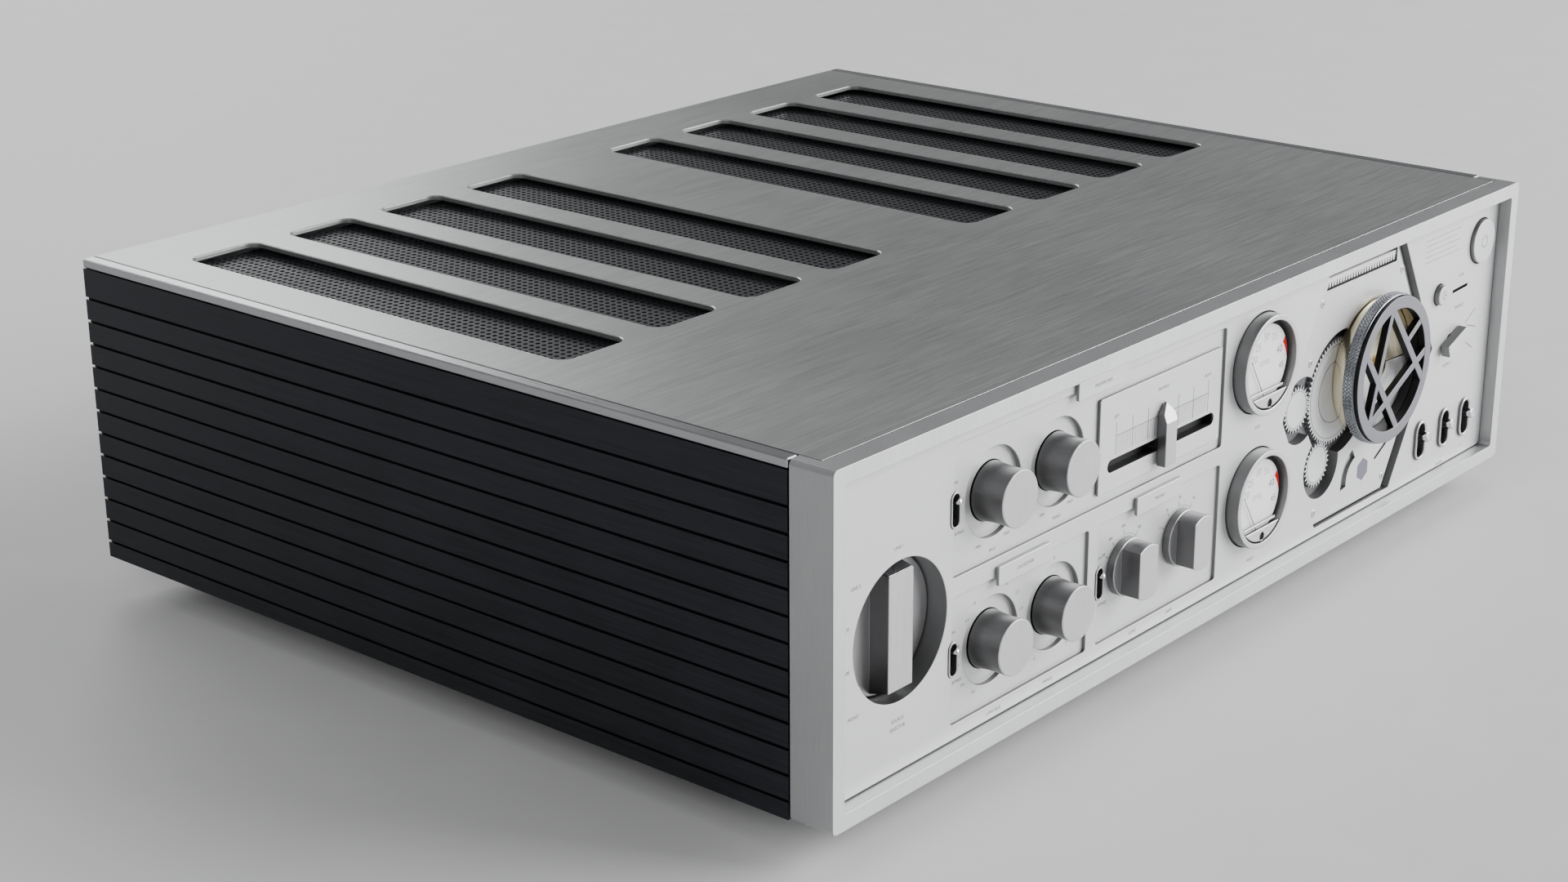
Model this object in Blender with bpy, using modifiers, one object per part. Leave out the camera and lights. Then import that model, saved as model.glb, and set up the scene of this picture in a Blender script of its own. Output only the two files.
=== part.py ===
"""Hi-fi power amplifier with a built-in preamplifier section, as separate pieces.

Lengths in the constants are millimetres in the cabinet's own frame: x to the right,
y back from the bezel's front face, z up from the cabinet's underside. world() turns
them into metres with the origin under the middle of the amplifier, on the floor.
"""

from math import acos, cos, hypot, pi, radians, sin, tan

import bmesh
import bpy
from mathutils import Matrix, Vector

MM = 0.001
GAP = 0.3
THROUGH = 2.0
FOOT_HEIGHT = 12.0

# Cabinet
WIDTH = 430.0
HEIGHT = 115.0
DEPTH = 348.0
HALF = WIDTH / 2
KNOB_FRONT = -4.0
TERMINAL_BACK = 360.0
MIDDLE_Y = (KNOB_FRONT + TERMINAL_BACK) / 2
FRAME_DEPTH = 16.4
FRAME_BORDER = 5.4
FRAME_CORNER = 1.8
OPENING_CORNER = 1.3
FRAME_LIP = 8.0
BODY_FRONT = FRAME_DEPTH + 0.7
COVER_THICK = 2.1
COVER_HALF = 210.0
SIDE_THICK = 8.0
SIDE_TOP = 111.5
RAIL_BOTTOM = SIDE_TOP + GAP
BASE_THICK = 2.0
INNER_HALF = HALF - SIDE_THICK - GAP
REAR_FACE = 347.5
REAR_THICK = 2.0

# Cooling slots in the cover
VENT_FIRST_X = 40.5
VENT_PITCH = 45.1
VENT_COLUMNS = 4
VENT_WIDTH = 30.5
VENT_FRONT = 130.0
VENT_BACK = 318.5
VENT_CORNER = 5.0
VENT_CHAMFER = 0.6
MESH_TOP = 111.2
MESH_THICK = 0.8
MESH_MARGIN = 5.0

# Grooves in the side panels
GROOVE_FIRST_Z = 6.2
GROOVE_PITCH = 8.56
GROOVE_COUNT = 12
GROOVE_HEIGHT = 1.0
GROOVE_DEPTH = 1.2

# Front panel
PANEL_FACE = 5.0
PANEL_BACK = 9.0
PANEL_HALF = 209.3
PANEL_BOTTOM = 5.8
PANEL_TOP = 109.2
RECESS_FLOOR = 6.2
SECTIONS = {
    "preamp": (-151.0, 4.5, 60.7, 104.0),
    "crossover": (-151.0, -76.5, 11.0, 54.0),
    "phono": (-70.5, 4.5, 11.0, 54.0),
}
TABS = {
    "tab_preamp": (-87.3, -59.3, 101.4, 107.4),
    "tab_crossover": (-128.7, -100.2, 51.4, 57.8),
    "tab_phono": (-50.2, -22.4, 51.4, 57.8),
}
TAB_FACE = 3.5

# Controls: centres are (x, z)
SELECTOR_AT = (-176.7, 52.2)
SELECTOR_RECESS_R = 23.0
SELECTOR_FLOOR = 12.3
ROUND_KNOBS = {
    "bass_knob": (-128.9, 82.6),
    "treble_knob": (-94.2, 82.6),
    "crossover_knob_low": (-129.0, 32.8),
    "crossover_knob_high": (-94.3, 32.8),
}
KNOB_RING_R = 14.9
KNOB_RING_FLOOR = 7.4
KNOB_HOLE_R = 10.9
KNOB_BASE_R = 10.2
KNOB_FACE_R = 9.4
KNOB_BACK = 7.8
BAR_KNOBS = {
    "phono_knob_left": (-53.3, 34.3),
    "phono_knob_right": (-19.2, 34.3),
}
SHAFT_R = 3.0
SHAFT_END = 22.2
PIN_TOGGLES = {
    "toggle_preamp": (-150.3, 83.0),
    "toggle_crossover": (-150.3, 33.5),
    "toggle_phono": (-69.5, 33.0),
}
BAT_TOGGLES = {
    "speaker_toggle_1": (155.2, 21.8),
    "speaker_toggle_2": (175.2, 21.8),
    "speaker_toggle_3": (192.3, 21.8),
}
TOGGLE_PIVOT_Y = 11.0
PIN_TILT = radians(22.5)
BAT_TILT = radians(12.0)
PLATE = (-72.2, 2.2, 64.3, 97.7)
PLATE_BACK = 5.9
SLOT_Z = (70.8, 75.2)
SLOT_X = (-67.0, -1.6)
SLIDER_X = -34.6
POWER_AT = (195.5, 94.2)
POWER_R = 8.9
BUTTON_AT = (162.9, 79.4)
BUTTON_R = 4.0
LEVER_AT = (174.9, 58.0)
LEVER_TILT = radians(19.5)
LEVER_FRONT = 1.0
CARD_SLIT_AT = (180.75, 78.0)
CARD_SLIT_TILT = radians(2.0)
METERS = {"meter_left": (28.4, 85.4), "meter_right": (28.4, 35.1)}
METER_R = 18.2
METER_BORE_R = 16.1
METER_BACK = 14.0
DIAL_R = 14.3
DIAL_FRONT = 2.8
DIAL_BACK = 3.6
PIVOT_COVER_Y = (0.4, 1.2)
NEEDLE_DROP = 14.0
NEEDLE_LENGTH = 20.4
NEEDLE_REST = radians(33.0)

# Geared volume control in its hexagonal window
HEX_AT = (103.6, 58.2)
HEX_R = 57.0
HEX_FLANGE_R = 58.8
PLATE_FACE = 6.45
GROOVE_FLOOR = 8.0
GEAR_PLATE_BACK = 12.2
GEAR_FACE = 8.3
GEAR_BACK = 10.2
POCKET_FLOOR = 10.6
MAIN_POCKET_R = 24.4
SMALL_POCKET_R = 12.75
PINION_POCKET_R = 4.8
MODULE = 0.62
MAIN_TEETH = 64
SMALL_TEETH = 27
PINION_TEETH = 10
PINION_BACKLASH = 0.6
MAIN_SHAFT_R = 2.0
SMALL_SHAFT_R = 1.5
MAIN_AT = (90.3, 58.2)
LEFT_DIRECTION = radians(180.0)
LOWER_DIRECTION = radians(248.1)
PINION_DIRECTION = radians(12.8)
COLLAR_R = 26.0
BARREL_R = 28.7
RING_R = 28.2
RING_BORE_R = 23.6
COMB_X = (75.7, 128.4)
COMB_TEETH = 26
COMB_PITCH = 2.0
COMB_WINDOW_Z = (100.3, 112.0)
CURVED_SLOT_AT = (109.3, 19.4)
CURVED_SLOT_R = (9.1, 13.4)
SLANTED_SLOT_AT = (126.5, 25.5)
SLANTED_SLOT_TILT = radians(28.0)
SLOT_DEPTH = 1.5

# Back of the cabinet
JACK_ROWS = (46.0, 66.0)
JACK_COLUMNS = (-164.0, -144.0, -124.0, -104.0, -84.0)
JACK_R = 4.1
JACK_BACK = 358.0
POST_PLACES = [(22.0 + 30.0 * column, 44.0 + 24.0 * row) for column in range(4) for row in range(2)]
POST_R = 6.0
JACK_AREA = (-176.0, -72.0, 36.0, 76.0)
POST_AREA = (8.0, 126.0, 32.0, 80.0)
INLET_AREA = (150.0, 198.0, 34.0, 62.0)
FLANGE_FACE = 350.0
PLUG_FRONT = 338.0
HOLE_MARGIN = 4.0

# Inside
TRANSFORMER_AT = (0.0, 108.0)
MAIN_BOARD_LEVEL = 12.0
BOARD_THICK = 1.6
CONTROL_BOARD_FRONT = 27.0
SWITCH_FRONT = 15.6
CAPACITOR_R = 17.5
CAPACITOR_HEIGHT = 52.0
CAPACITOR_Y = 225.0
BASE_SLOT_Y = (24.0, 28.0)
BASE_SLOT_PITCH = 40.0
BASE_SLOT_HALF = 14.0

FEET = {
    "foot_front_left": (-170.0, 52.0),
    "foot_front_right": (170.0, 52.0),
    "foot_rear_left": (-170.0, 308.0),
    "foot_rear_right": (170.0, 308.0),
}


def world(x, y, z):
    """A point of the cabinet's frame, in metres from the amplifier's origin."""
    return Vector((x * MM, (y - MIDDLE_Y) * MM, (z + FOOT_HEIGHT) * MM))


def polar(centre, radius, angle):
    return (centre[0] + radius * cos(angle), centre[1] + radius * sin(angle))


for old in list(bpy.data.objects):
    bpy.data.objects.remove(old, do_unlink=True)

PARTS = bpy.data.collections.new("power_amplifier")
CUTTERS = bpy.data.collections.new("cutters")
for group in (PARTS, CUTTERS):
    bpy.context.scene.collection.children.link(group)


def paint(name, colour, roughness, metallic):
    material = bpy.data.materials.new(name)
    material.use_nodes = True
    shader = material.node_tree.nodes["Principled BSDF"]
    shader.inputs["Base Color"].default_value = (*colour, 1.0)
    shader.inputs["Roughness"].default_value = roughness
    shader.inputs["Metallic"].default_value = metallic
    return material


SILVER = paint("satin_silver", (0.66, 0.67, 0.68), 0.35, 1.0)
COVER_GREY = paint("brushed_grey", (0.24, 0.24, 0.25), 0.4, 1.0)
BLACK = paint("black_anodised", (0.025, 0.027, 0.032), 0.4, 0.8)
KNOB_GREY = paint("knob_grey", (0.42, 0.42, 0.43), 0.35, 1.0)
STEEL = paint("bright_steel", (0.7, 0.71, 0.73), 0.22, 1.0)
GUNMETAL = paint("gunmetal", (0.33, 0.33, 0.37), 0.45, 0.6)
BRASS = paint("pale_brass", (0.78, 0.7, 0.5), 0.2, 1.0)
DIAL_WHITE = paint("dial_white", (0.88, 0.88, 0.87), 0.5, 0.0)
INK = paint("needle_black", (0.03, 0.03, 0.03), 0.5, 0.0)
MESH_GREY = paint("mesh_grey", (0.12, 0.12, 0.13), 0.5, 0.7)
RUBBER = paint("foot_rubber", (0.03, 0.03, 0.03), 0.8, 0.0)
PLASTIC = paint("black_plastic", (0.02, 0.02, 0.02), 0.45, 0.0)
BOARD_GREEN = paint("circuit_board", (0.03, 0.13, 0.06), 0.5, 0.0)
ZINC = paint("zinc_plate", (0.5, 0.5, 0.5), 0.45, 1.0)
SLEEVE = paint("capacitor_sleeve", (0.03, 0.05, 0.14), 0.4, 0.0)
WINDING = paint("transformer_tape", (0.5, 0.4, 0.08), 0.5, 0.0)


def finish(name, mesh, material, matrix=None):
    """Make the named object, shaded smooth up to its sharp edges."""
    mesh.name = name
    mesh.materials.clear()
    mesh.materials.append(material)
    mesh.shade_smooth()
    mesh.set_sharp_from_angle(angle=radians(35.0))
    thing = bpy.data.objects.new(name, mesh)
    if matrix is not None:
        thing.matrix_world = matrix
    PARTS.objects.link(thing)
    return thing


def block(name, x, y, z, material=SILVER):
    """A box from three (low, high) pairs in the cabinet's frame."""
    low = world(x[0], y[0], z[0])
    high = world(x[1], y[1], z[1])
    shape = bmesh.new()
    bmesh.ops.create_cube(shape, size=1.0)
    bmesh.ops.scale(shape, vec=high - low, verts=shape.verts)
    bmesh.ops.translate(shape, vec=(low + high) / 2, verts=shape.verts)
    mesh = bpy.data.meshes.new(name)
    shape.to_mesh(mesh)
    shape.free()
    return finish(name, mesh, material)


def turned(axis):
    """The rotation that takes local Z to the front (y), the top (z) or the right (x)."""
    if axis == "y":
        return Matrix.Rotation(radians(90.0), 4, "X")
    if axis == "x":
        return Matrix(((0, 0, 1, 0), (1, 0, 0, 0), (0, 1, 0, 0), (0, 0, 0, 1)))
    return Matrix.Identity(4)


def lathe(name, centre, profile, material=SILVER, axis="y", steps=28):
    """Turn (radius, height) points, front or top first, about an axis through centre.

    Along "y" the centre is (x, z) and heights are y values. Along "z" the centre is
    (x, y) and heights are z values.
    """
    if axis == "y":
        place = Matrix.Translation(world(centre[0], 0.0, centre[1]))
        heights = [-h for _, h in profile]
    else:
        place = Matrix.Translation(world(centre[0], centre[1], 0.0))
        heights = [h for _, h in profile]
    mesh = bpy.data.meshes.new(name)
    points = [(r * MM, 0.0, h * MM) for (r, _), h in zip(profile, heights)]
    edges = [(i, i + 1) for i in range(len(points) - 1)]
    if profile[0][0] > 0.0:
        edges.append((len(points) - 1, 0))
    mesh.from_pydata(points, edges, [])
    thing = finish(name, mesh, material, place @ turned(axis))
    screw = thing.modifiers.new("turn", "SCREW")
    screw.angle = 2 * pi
    screw.steps = steps
    screw.render_steps = steps
    screw.use_merge_vertices = True
    screw.merge_threshold = 0.00001
    screw.use_smooth_shade = True
    return thing


def rod(name, centre, radius, span, material=SILVER, axis="y", steps=28):
    first, last = (span[0], span[1]) if axis == "y" else (span[1], span[0])
    profile = [(0.0, first), (radius, first), (radius, last), (0.0, last)]
    return lathe(name, centre, profile, material, axis, steps)


def prism(name, outline, span, material=SILVER, axis="y"):
    """Extrude a flat outline along y, z or x. Its points are (x, z), (x, y) or (y, z)."""
    curve = bpy.data.curves.new(name, "CURVE")
    curve.dimensions = "2D"
    curve.fill_mode = "BOTH"
    curve.extrude = abs(span[1] - span[0]) * MM / 2
    middle = (span[0] + span[1]) / 2
    spline = curve.splines.new("POLY")
    spline.points.add(len(outline) - 1)
    for point, (u, v) in zip(spline.points, outline):
        point.co = (u * MM, v * MM, 0.0, 1.0)
    spline.use_cyclic_u = True
    if axis == "y":
        place = Matrix.Translation(world(0.0, middle, 0.0))
    elif axis == "z":
        place = Matrix.Translation(world(0.0, 0.0, middle))
    else:
        place = Matrix.Translation(world(middle, 0.0, 0.0))
    guide = bpy.data.objects.new(name, curve)
    PARTS.objects.link(guide)
    bpy.context.view_layer.update()
    graph = bpy.context.evaluated_depsgraph_get()
    mesh = bpy.data.meshes.new_from_object(guide.evaluated_get(graph))
    bpy.data.objects.remove(guide, do_unlink=True)
    bpy.data.curves.remove(curve)
    shape = bmesh.new()
    shape.from_mesh(mesh)
    bmesh.ops.remove_doubles(shape, verts=shape.verts, dist=0.000001)
    bmesh.ops.transform(shape, matrix=place @ turned(axis), verts=shape.verts)
    bmesh.ops.recalc_face_normals(shape, faces=shape.faces)
    shape.to_mesh(mesh)
    shape.free()
    return finish(name, mesh, material)


def boolean(target, other, operation):
    for group in list(other.users_collection):
        group.objects.unlink(other)
    CUTTERS.objects.link(other)
    other.hide_render = True
    other.display_type = "WIRE"
    change = target.modifiers.new(other.name, "BOOLEAN")
    change.operation = operation
    change.solver = "EXACT"
    change.object = other


def cut(target, *others):
    for other in others:
        boolean(target, other, "DIFFERENCE")


def add(target, *others):
    for other in others:
        boolean(target, other, "UNION")


def bevel(thing, width, segments=1):
    """Chamfer or round the edges of a plain shape."""
    edge = thing.modifiers.new("edges", "BEVEL")
    edge.width = width * MM
    edge.segments = segments
    edge.limit_method = "ANGLE"
    edge.angle_limit = radians(40.0)
    return thing


def weld_seams():
    """Merge the zero-length edges that a cut can leave."""
    for thing in PARTS.objects:
        if any(change.type == "BOOLEAN" for change in thing.modifiers):
            seam = thing.modifiers.new("seams", "WELD")
            seam.merge_threshold = 0.000003


def set_origin(thing, x, y, z):
    """Put a moving piece's origin on its joint axis."""
    pivot = world(x, y, z)
    inverse = thing.matrix_world.inverted()
    thing.data.transform(Matrix.Translation(-(inverse @ pivot)))
    thing.matrix_world = thing.matrix_world @ Matrix.Translation(inverse @ pivot)


def arc(centre, radius, start, end, steps):
    """Points on an arc, both ends included, from start to end in radians."""
    return [polar(centre, radius, start + (end - start) * i / steps) for i in range(steps + 1)]


def rounded(low, high, radius, steps=3):
    """A rectangle with round corners, from its two opposite corners."""
    corners = (
        ((high[0] - radius, high[1] - radius), 0.0),
        ((low[0] + radius, high[1] - radius), pi / 2),
        ((low[0] + radius, low[1] + radius), pi),
        ((high[0] - radius, low[1] + radius), 1.5 * pi),
    )
    points = []
    for centre, start in corners:
        points += arc(centre, radius, start, start + pi / 2, steps)
    return points


def stadium(centre, width, height, steps=5):
    """A slot with round ends, taller than it is wide."""
    radius = width / 2
    rise = height / 2 - radius
    top = (centre[0], centre[1] + rise)
    bottom = (centre[0], centre[1] - rise)
    return arc(top, radius, 0.0, pi, steps) + arc(bottom, radius, pi, 2 * pi, steps)


def turn_points(points, centre, angle):
    turned_points = []
    for x, z in points:
        dx = x - centre[0]
        dz = z - centre[1]
        turned_points.append((centre[0] + dx * cos(angle) - dz * sin(angle),
                              centre[1] + dx * sin(angle) + dz * cos(angle)))
    return turned_points


def tilted_slot(centre, length, height, angle):
    """A long slot with round ends, turned about its centre."""
    low = (centre[0] - length / 2, centre[1] - height / 2)
    high = (centre[0] + length / 2, centre[1] + height / 2)
    return turn_points(rounded(low, high, height * 0.46, 2), centre, angle)


# ---------------------------------------------------------------- cabinet
def make_front_frame():
    outer = rounded((-HALF, 0.0), (HALF, HEIGHT), FRAME_CORNER)
    frame = prism("front_frame", outer, (0.0, FRAME_DEPTH))
    low = (-HALF + FRAME_BORDER, FRAME_BORDER)
    high = (HALF - FRAME_BORDER, HEIGHT - FRAME_BORDER)
    opening = rounded(low, high, OPENING_CORNER)
    cut(frame, prism("frame_opening", opening, (-THROUGH, FRAME_DEPTH + THROUGH)))
    lip_half = COVER_HALF + GAP
    lip_floor = HEIGHT - COVER_THICK - GAP
    cut(frame, block("frame_rebate", (-lip_half, lip_half), (FRAME_LIP, FRAME_DEPTH + THROUGH),
                     (lip_floor, HEIGHT + THROUGH)))
    return frame


def make_top_cover():
    low = HEIGHT - COVER_THICK
    cover = block("top_cover", (-COVER_HALF, COVER_HALF), (FRAME_LIP + GAP, DEPTH), (low, HEIGHT),
                  COVER_GREY)
    half = VENT_WIDTH / 2
    grow = VENT_CHAMFER
    for side in (-1, 1):
        for column in range(VENT_COLUMNS):
            middle = side * (VENT_FIRST_X + VENT_PITCH * column)
            name = f"vent_{side}_{column}"
            slot = rounded((middle - half, VENT_FRONT), (middle + half, VENT_BACK), VENT_CORNER)
            wide = rounded((middle - half - grow, VENT_FRONT - grow),
                           (middle + half + grow, VENT_BACK + grow), VENT_CORNER + grow)
            flare = prism(name + "_flare", wide, (HEIGHT - grow, HEIGHT + THROUGH), axis="z")
            bevel(flare, grow * 1.2)
            cut(cover, prism(name, slot, (low - THROUGH, HEIGHT + THROUGH), axis="z"), flare)
    return cover


def make_vent_mesh():
    half = VENT_FIRST_X + VENT_PITCH * (VENT_COLUMNS - 1) + VENT_WIDTH / 2 + MESH_MARGIN
    return block("vent_mesh", (-half, half), (VENT_FRONT - MESH_MARGIN, VENT_BACK + MESH_MARGIN),
                 (MESH_TOP - MESH_THICK, MESH_TOP), MESH_GREY)


def make_side(name, side):
    near, far = sorted((side * (HALF - SIDE_THICK), side * HALF))
    panel = block(name, (near, far), (BODY_FRONT, DEPTH), (0.0, SIDE_TOP), BLACK)
    groove_x = sorted((side * (HALF - GROOVE_DEPTH), side * (HALF + THROUGH)))
    for row in range(GROOVE_COUNT):
        middle = GROOVE_FIRST_Z + GROOVE_PITCH * row
        cut(panel, block(f"{name}_groove_{row}", groove_x, (BODY_FRONT - THROUGH, DEPTH + THROUGH),
                         (middle - GROOVE_HEIGHT / 2, middle + GROOVE_HEIGHT / 2)))
    return panel


def make_rail(name, side):
    near, far = sorted((side * (COVER_HALF + GAP), side * HALF))
    return bevel(block(name, (near, far), (BODY_FRONT, DEPTH), (RAIL_BOTTOM, HEIGHT), SILVER), 0.4)


def make_base():
    base = block("base_pan", (-INNER_HALF, INNER_HALF), (BODY_FRONT, REAR_FACE - REAR_THICK - GAP),
                 (0.0, BASE_THICK), ZINC)
    for row in range(-3, 4):
        middle = row * BASE_SLOT_PITCH
        cut(base, block(f"base_slot_{row}", (middle - BASE_SLOT_HALF, middle + BASE_SLOT_HALF),
                        BASE_SLOT_Y, (-THROUGH, BASE_THICK + THROUGH)))
    return base


def make_foot(name, centre):
    profile = [(0.0, -GAP), (19.0, -GAP), (21.0, -2.5), (21.0, -9.5), (18.5, -FOOT_HEIGHT),
               (0.0, -FOOT_HEIGHT)]
    return lathe(name, centre, profile, RUBBER, "z", 16)


# ---------------------------------------------------------------- front panel
def make_front_panel():
    sheet = rounded((-PANEL_HALF, PANEL_BOTTOM), (PANEL_HALF, PANEL_TOP), OPENING_CORNER)
    panel = prism("front_panel", sheet, (PANEL_FACE, PANEL_BACK))
    behind = PANEL_BACK + THROUGH
    ahead = PANEL_FACE - THROUGH
    for name, (left, right, low, high) in SECTIONS.items():
        outline = rounded((left, low), (right, high), 1.2, 3)
        cut(panel, prism("recess_" + name, outline, (ahead, RECESS_FLOOR)))
    cup_back = SELECTOR_FLOOR + 2.9
    add(panel, rod("selector_cup", SELECTOR_AT, SELECTOR_RECESS_R + 2.5, (PANEL_BACK - 1.0, cup_back),
                   steps=20))
    cut(panel, rod("selector_well", SELECTOR_AT, SELECTOR_RECESS_R, (ahead, cup_back + THROUGH),
                   steps=40))
    for name, centre in PIN_TOGGLES.items():
        rim = prism(name + "_rim", stadium(centre, 4.8, 12.1, 4), (PANEL_FACE - 0.4, PANEL_BACK - 1.0))
        add(panel, rim)
        cut(panel, prism(name + "_slot", stadium(centre, 3.4, 10.7, 4), (ahead, behind)))
    for name, centre in BAT_TOGGLES.items():
        add(panel, prism(name + "_rim", stadium(centre, 8.5, 16.4), (PANEL_FACE - 1.2, PANEL_BACK - 1.0)))
        cut(panel, prism(name + "_slot", stadium(centre, 5.9, 13.8), (ahead - 1.0, behind)))
    for name, centre in ROUND_KNOBS.items():
        cut(panel, rod(name + "_ring", centre, KNOB_RING_R, (ahead, KNOB_RING_FLOOR), steps=28))
        cut(panel, rod(name + "_hole", centre, KNOB_HOLE_R, (ahead, behind), steps=20))
    for name, centre in BAR_KNOBS.items():
        cut(panel, rod(name + "_hole", centre, SHAFT_R + 0.5, (ahead, behind), steps=8))
    slot = rounded((SLOT_X[0] - 1.0, SLOT_Z[0] - 1.0), (SLOT_X[1] + 1.0, SLOT_Z[1] + 1.0), 1.0, 2)
    cut(panel, prism("slider_opening", slot, (ahead, behind)))
    for name, centre in METERS.items():
        cut(panel, rod(name + "_hole", centre, METER_R + 0.4, (ahead, behind), steps=32))
    cut(panel, prism("hex_window", arc(HEX_AT, HEX_R, 0.0, 5 * pi / 3, 5), (ahead, behind)))
    cut(panel, rod("power_hole", POWER_AT, POWER_R + 0.35, (ahead, behind)))
    cut(panel, rod("button_hole", BUTTON_AT, BUTTON_R + 0.35, (ahead, behind), steps=20))
    cut(panel, rod("lever_hole", LEVER_AT, 2.6, (ahead, behind), steps=8))
    slit = tilted_slot(CARD_SLIT_AT, 12.5, 1.2, CARD_SLIT_TILT)
    cut(panel, prism("card_slit", slit, (ahead, behind)))
    return panel


def make_tab(name, area):
    outline = rounded((area[0], area[2]), (area[1], area[3]), 0.5, 2)
    return prism(name, outline, (TAB_FACE, PANEL_FACE - GAP))


def make_slider_plate():
    plate = prism("slider_plate", rounded((PLATE[0], PLATE[2]), (PLATE[1], PLATE[3]), 0.8, 2),
                  (PANEL_FACE, PLATE_BACK))
    slot = rounded((SLOT_X[0], SLOT_Z[0]), (SLOT_X[1], SLOT_Z[1]), 2.1, 5)
    cut(plate, prism("slider_slot", slot, (PANEL_FACE - THROUGH, PLATE_BACK + THROUGH)))
    return plate


# ---------------------------------------------------------------- knobs and switches
def make_source_selector():
    """A disc at the bottom of a deep round well, with one bar grip across it."""
    grip_half = 6.0
    floor = SELECTOR_FLOOR
    disc = rod("source_selector", SELECTOR_AT, SELECTOR_RECESS_R - GAP, (floor, floor + 2.0), steps=40)
    side = [(PANEL_FACE, 33.2), (PANEL_FACE, 71.2), (floor + 1.0, 73.4), (floor + 1.0, 31.0)]
    grip = prism("selector_grip", side, (SELECTOR_AT[0] - grip_half, SELECTOR_AT[0] + grip_half),
                 axis="x")
    add(disc, grip, rod("selector_shaft", SELECTOR_AT, SHAFT_R, (floor + 1.0, SHAFT_END), steps=8))
    return disc


def make_round_knob(name, centre):
    """A slightly waisted turned knob on its shaft."""
    chamfer = 0.4
    waist = KNOB_FACE_R - 0.15
    profile = [
        (0.0, KNOB_FRONT), (KNOB_FACE_R - chamfer, KNOB_FRONT), (KNOB_FACE_R, KNOB_FRONT + chamfer),
        (waist, 0.0), (KNOB_FACE_R + 0.25, 4.0), (KNOB_BASE_R, KNOB_BACK), (SHAFT_R, KNOB_BACK),
        (SHAFT_R, SHAFT_END), (0.0, SHAFT_END),
    ]
    return lathe(name, centre, profile, KNOB_GREY, steps=28)


def make_bar_knob(name, centre):
    """A disc with an upright bar whose ends follow a circle."""
    bar_half = 5.5
    bar_r = 9.75
    disc_front = 3.3
    disc_back = RECESS_FLOOR - GAP
    lean = acos(bar_half / bar_r)
    outline = arc(centre, bar_r, lean, pi - lean, 6) + arc(centre, bar_r, pi + lean, 2 * pi - lean, 6)
    profile = [
        (0.0, disc_front), (KNOB_BASE_R - 0.4, disc_front), (KNOB_BASE_R, disc_front + 0.4),
        (KNOB_BASE_R, disc_back), (SHAFT_R, disc_back), (SHAFT_R, SHAFT_END), (0.0, SHAFT_END),
    ]
    disc = lathe(name, centre, profile, KNOB_GREY, steps=28)
    add(disc, bevel(prism(name + "_bar", outline, (KNOB_FRONT, disc_front + 1.0)), 0.25))
    return disc


def make_balance_slider():
    """A fader cap with a pointed top and a sloping upper face, on a thin stem."""
    face = 1.1
    back = PANEL_FACE - GAP
    half = 3.3
    shoulder = 84.0
    outline = [(SLIDER_X - half, 65.8), (SLIDER_X + half, 65.8), (SLIDER_X + half, shoulder),
               (SLIDER_X, 87.6), (SLIDER_X - half, shoulder)]
    cap = prism("balance_slider", outline, (face, back), SILVER)
    slope = [(face - 1.0, 81.2), (face, 81.2), (back - 0.8, 88.5), (face - 1.0, 88.5)]
    cut(cap, prism("cap_slope", slope, (SLIDER_X - 5.0, SLIDER_X + 5.0), axis="x"))
    add(cap, block("cap_stem", (SLIDER_X - 1.5, SLIDER_X + 1.5), (back - 1.0, 14.0), (71.4, 74.6)))
    return cap


def lever_shape(name, centre, tilt, parts, material):
    """Turn a lever about its pivot ball: parts are (radius, distance ahead of the pivot)."""
    pivot = world(centre[0], TOGGLE_PIVOT_Y, centre[1])
    mesh = bpy.data.meshes.new(name)
    points = [(r * MM, 0.0, h * MM) for r, h in parts]
    mesh.from_pydata(points, [(i, i + 1) for i in range(len(points) - 1)], [])
    matrix = Matrix.Translation(pivot) @ Matrix.Rotation(-tilt, 4, "X") @ turned("y")
    thing = finish(name, mesh, material, matrix)
    screw = thing.modifiers.new("turn", "SCREW")
    screw.angle = 2 * pi
    screw.steps = 8
    screw.render_steps = 8
    screw.use_merge_vertices = True
    screw.merge_threshold = 0.00001
    screw.use_smooth_shade = True
    return thing


def make_pin_toggle(name, centre):
    ball = 1.0
    root = 1.5
    tip = TOGGLE_PIVOT_Y - PANEL_FACE + 2.9
    parts = [(ball * sin(a), tip - ball + ball * cos(a)) for a in (0.0, 0.6, 1.2, 1.8, 2.3)]
    parts += [(0.6, 2.2), (root * 0.8, root * 0.6), (root, 0.0), (root * 0.8, -root * 0.6), (0.0, -root)]
    return lever_shape(name, centre, PIN_TILT, parts, STEEL)


def make_bat_toggle(name, centre):
    tip = TOGGLE_PIVOT_Y - PANEL_FACE + 4.7
    root = 2.2
    parts = [(0.0, tip), (1.6, tip), (1.95, tip - 0.35), (1.95, tip - 1.8), (1.55, tip - 2.2), (1.35, 2.4),
             (root * 0.8, root * 0.6), (root, 0.0), (root * 0.8, -root * 0.6), (0.0, -root)]
    return lever_shape(name, centre, BAT_TILT, parts, STEEL)


def make_button(name, centre, radius, face):
    """A push button with a collar behind the panel that keeps it in."""
    profile = [
        (0.0, face), (radius - 0.3, face), (radius, face + 0.3), (radius, PANEL_BACK + 1.6),
        (radius + 0.9, PANEL_BACK + 1.6), (radius + 0.9, PANEL_BACK + 2.8), (0.0, PANEL_BACK + 2.8),
    ]
    return lathe(name, centre, profile, SILVER, steps=24)


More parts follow.
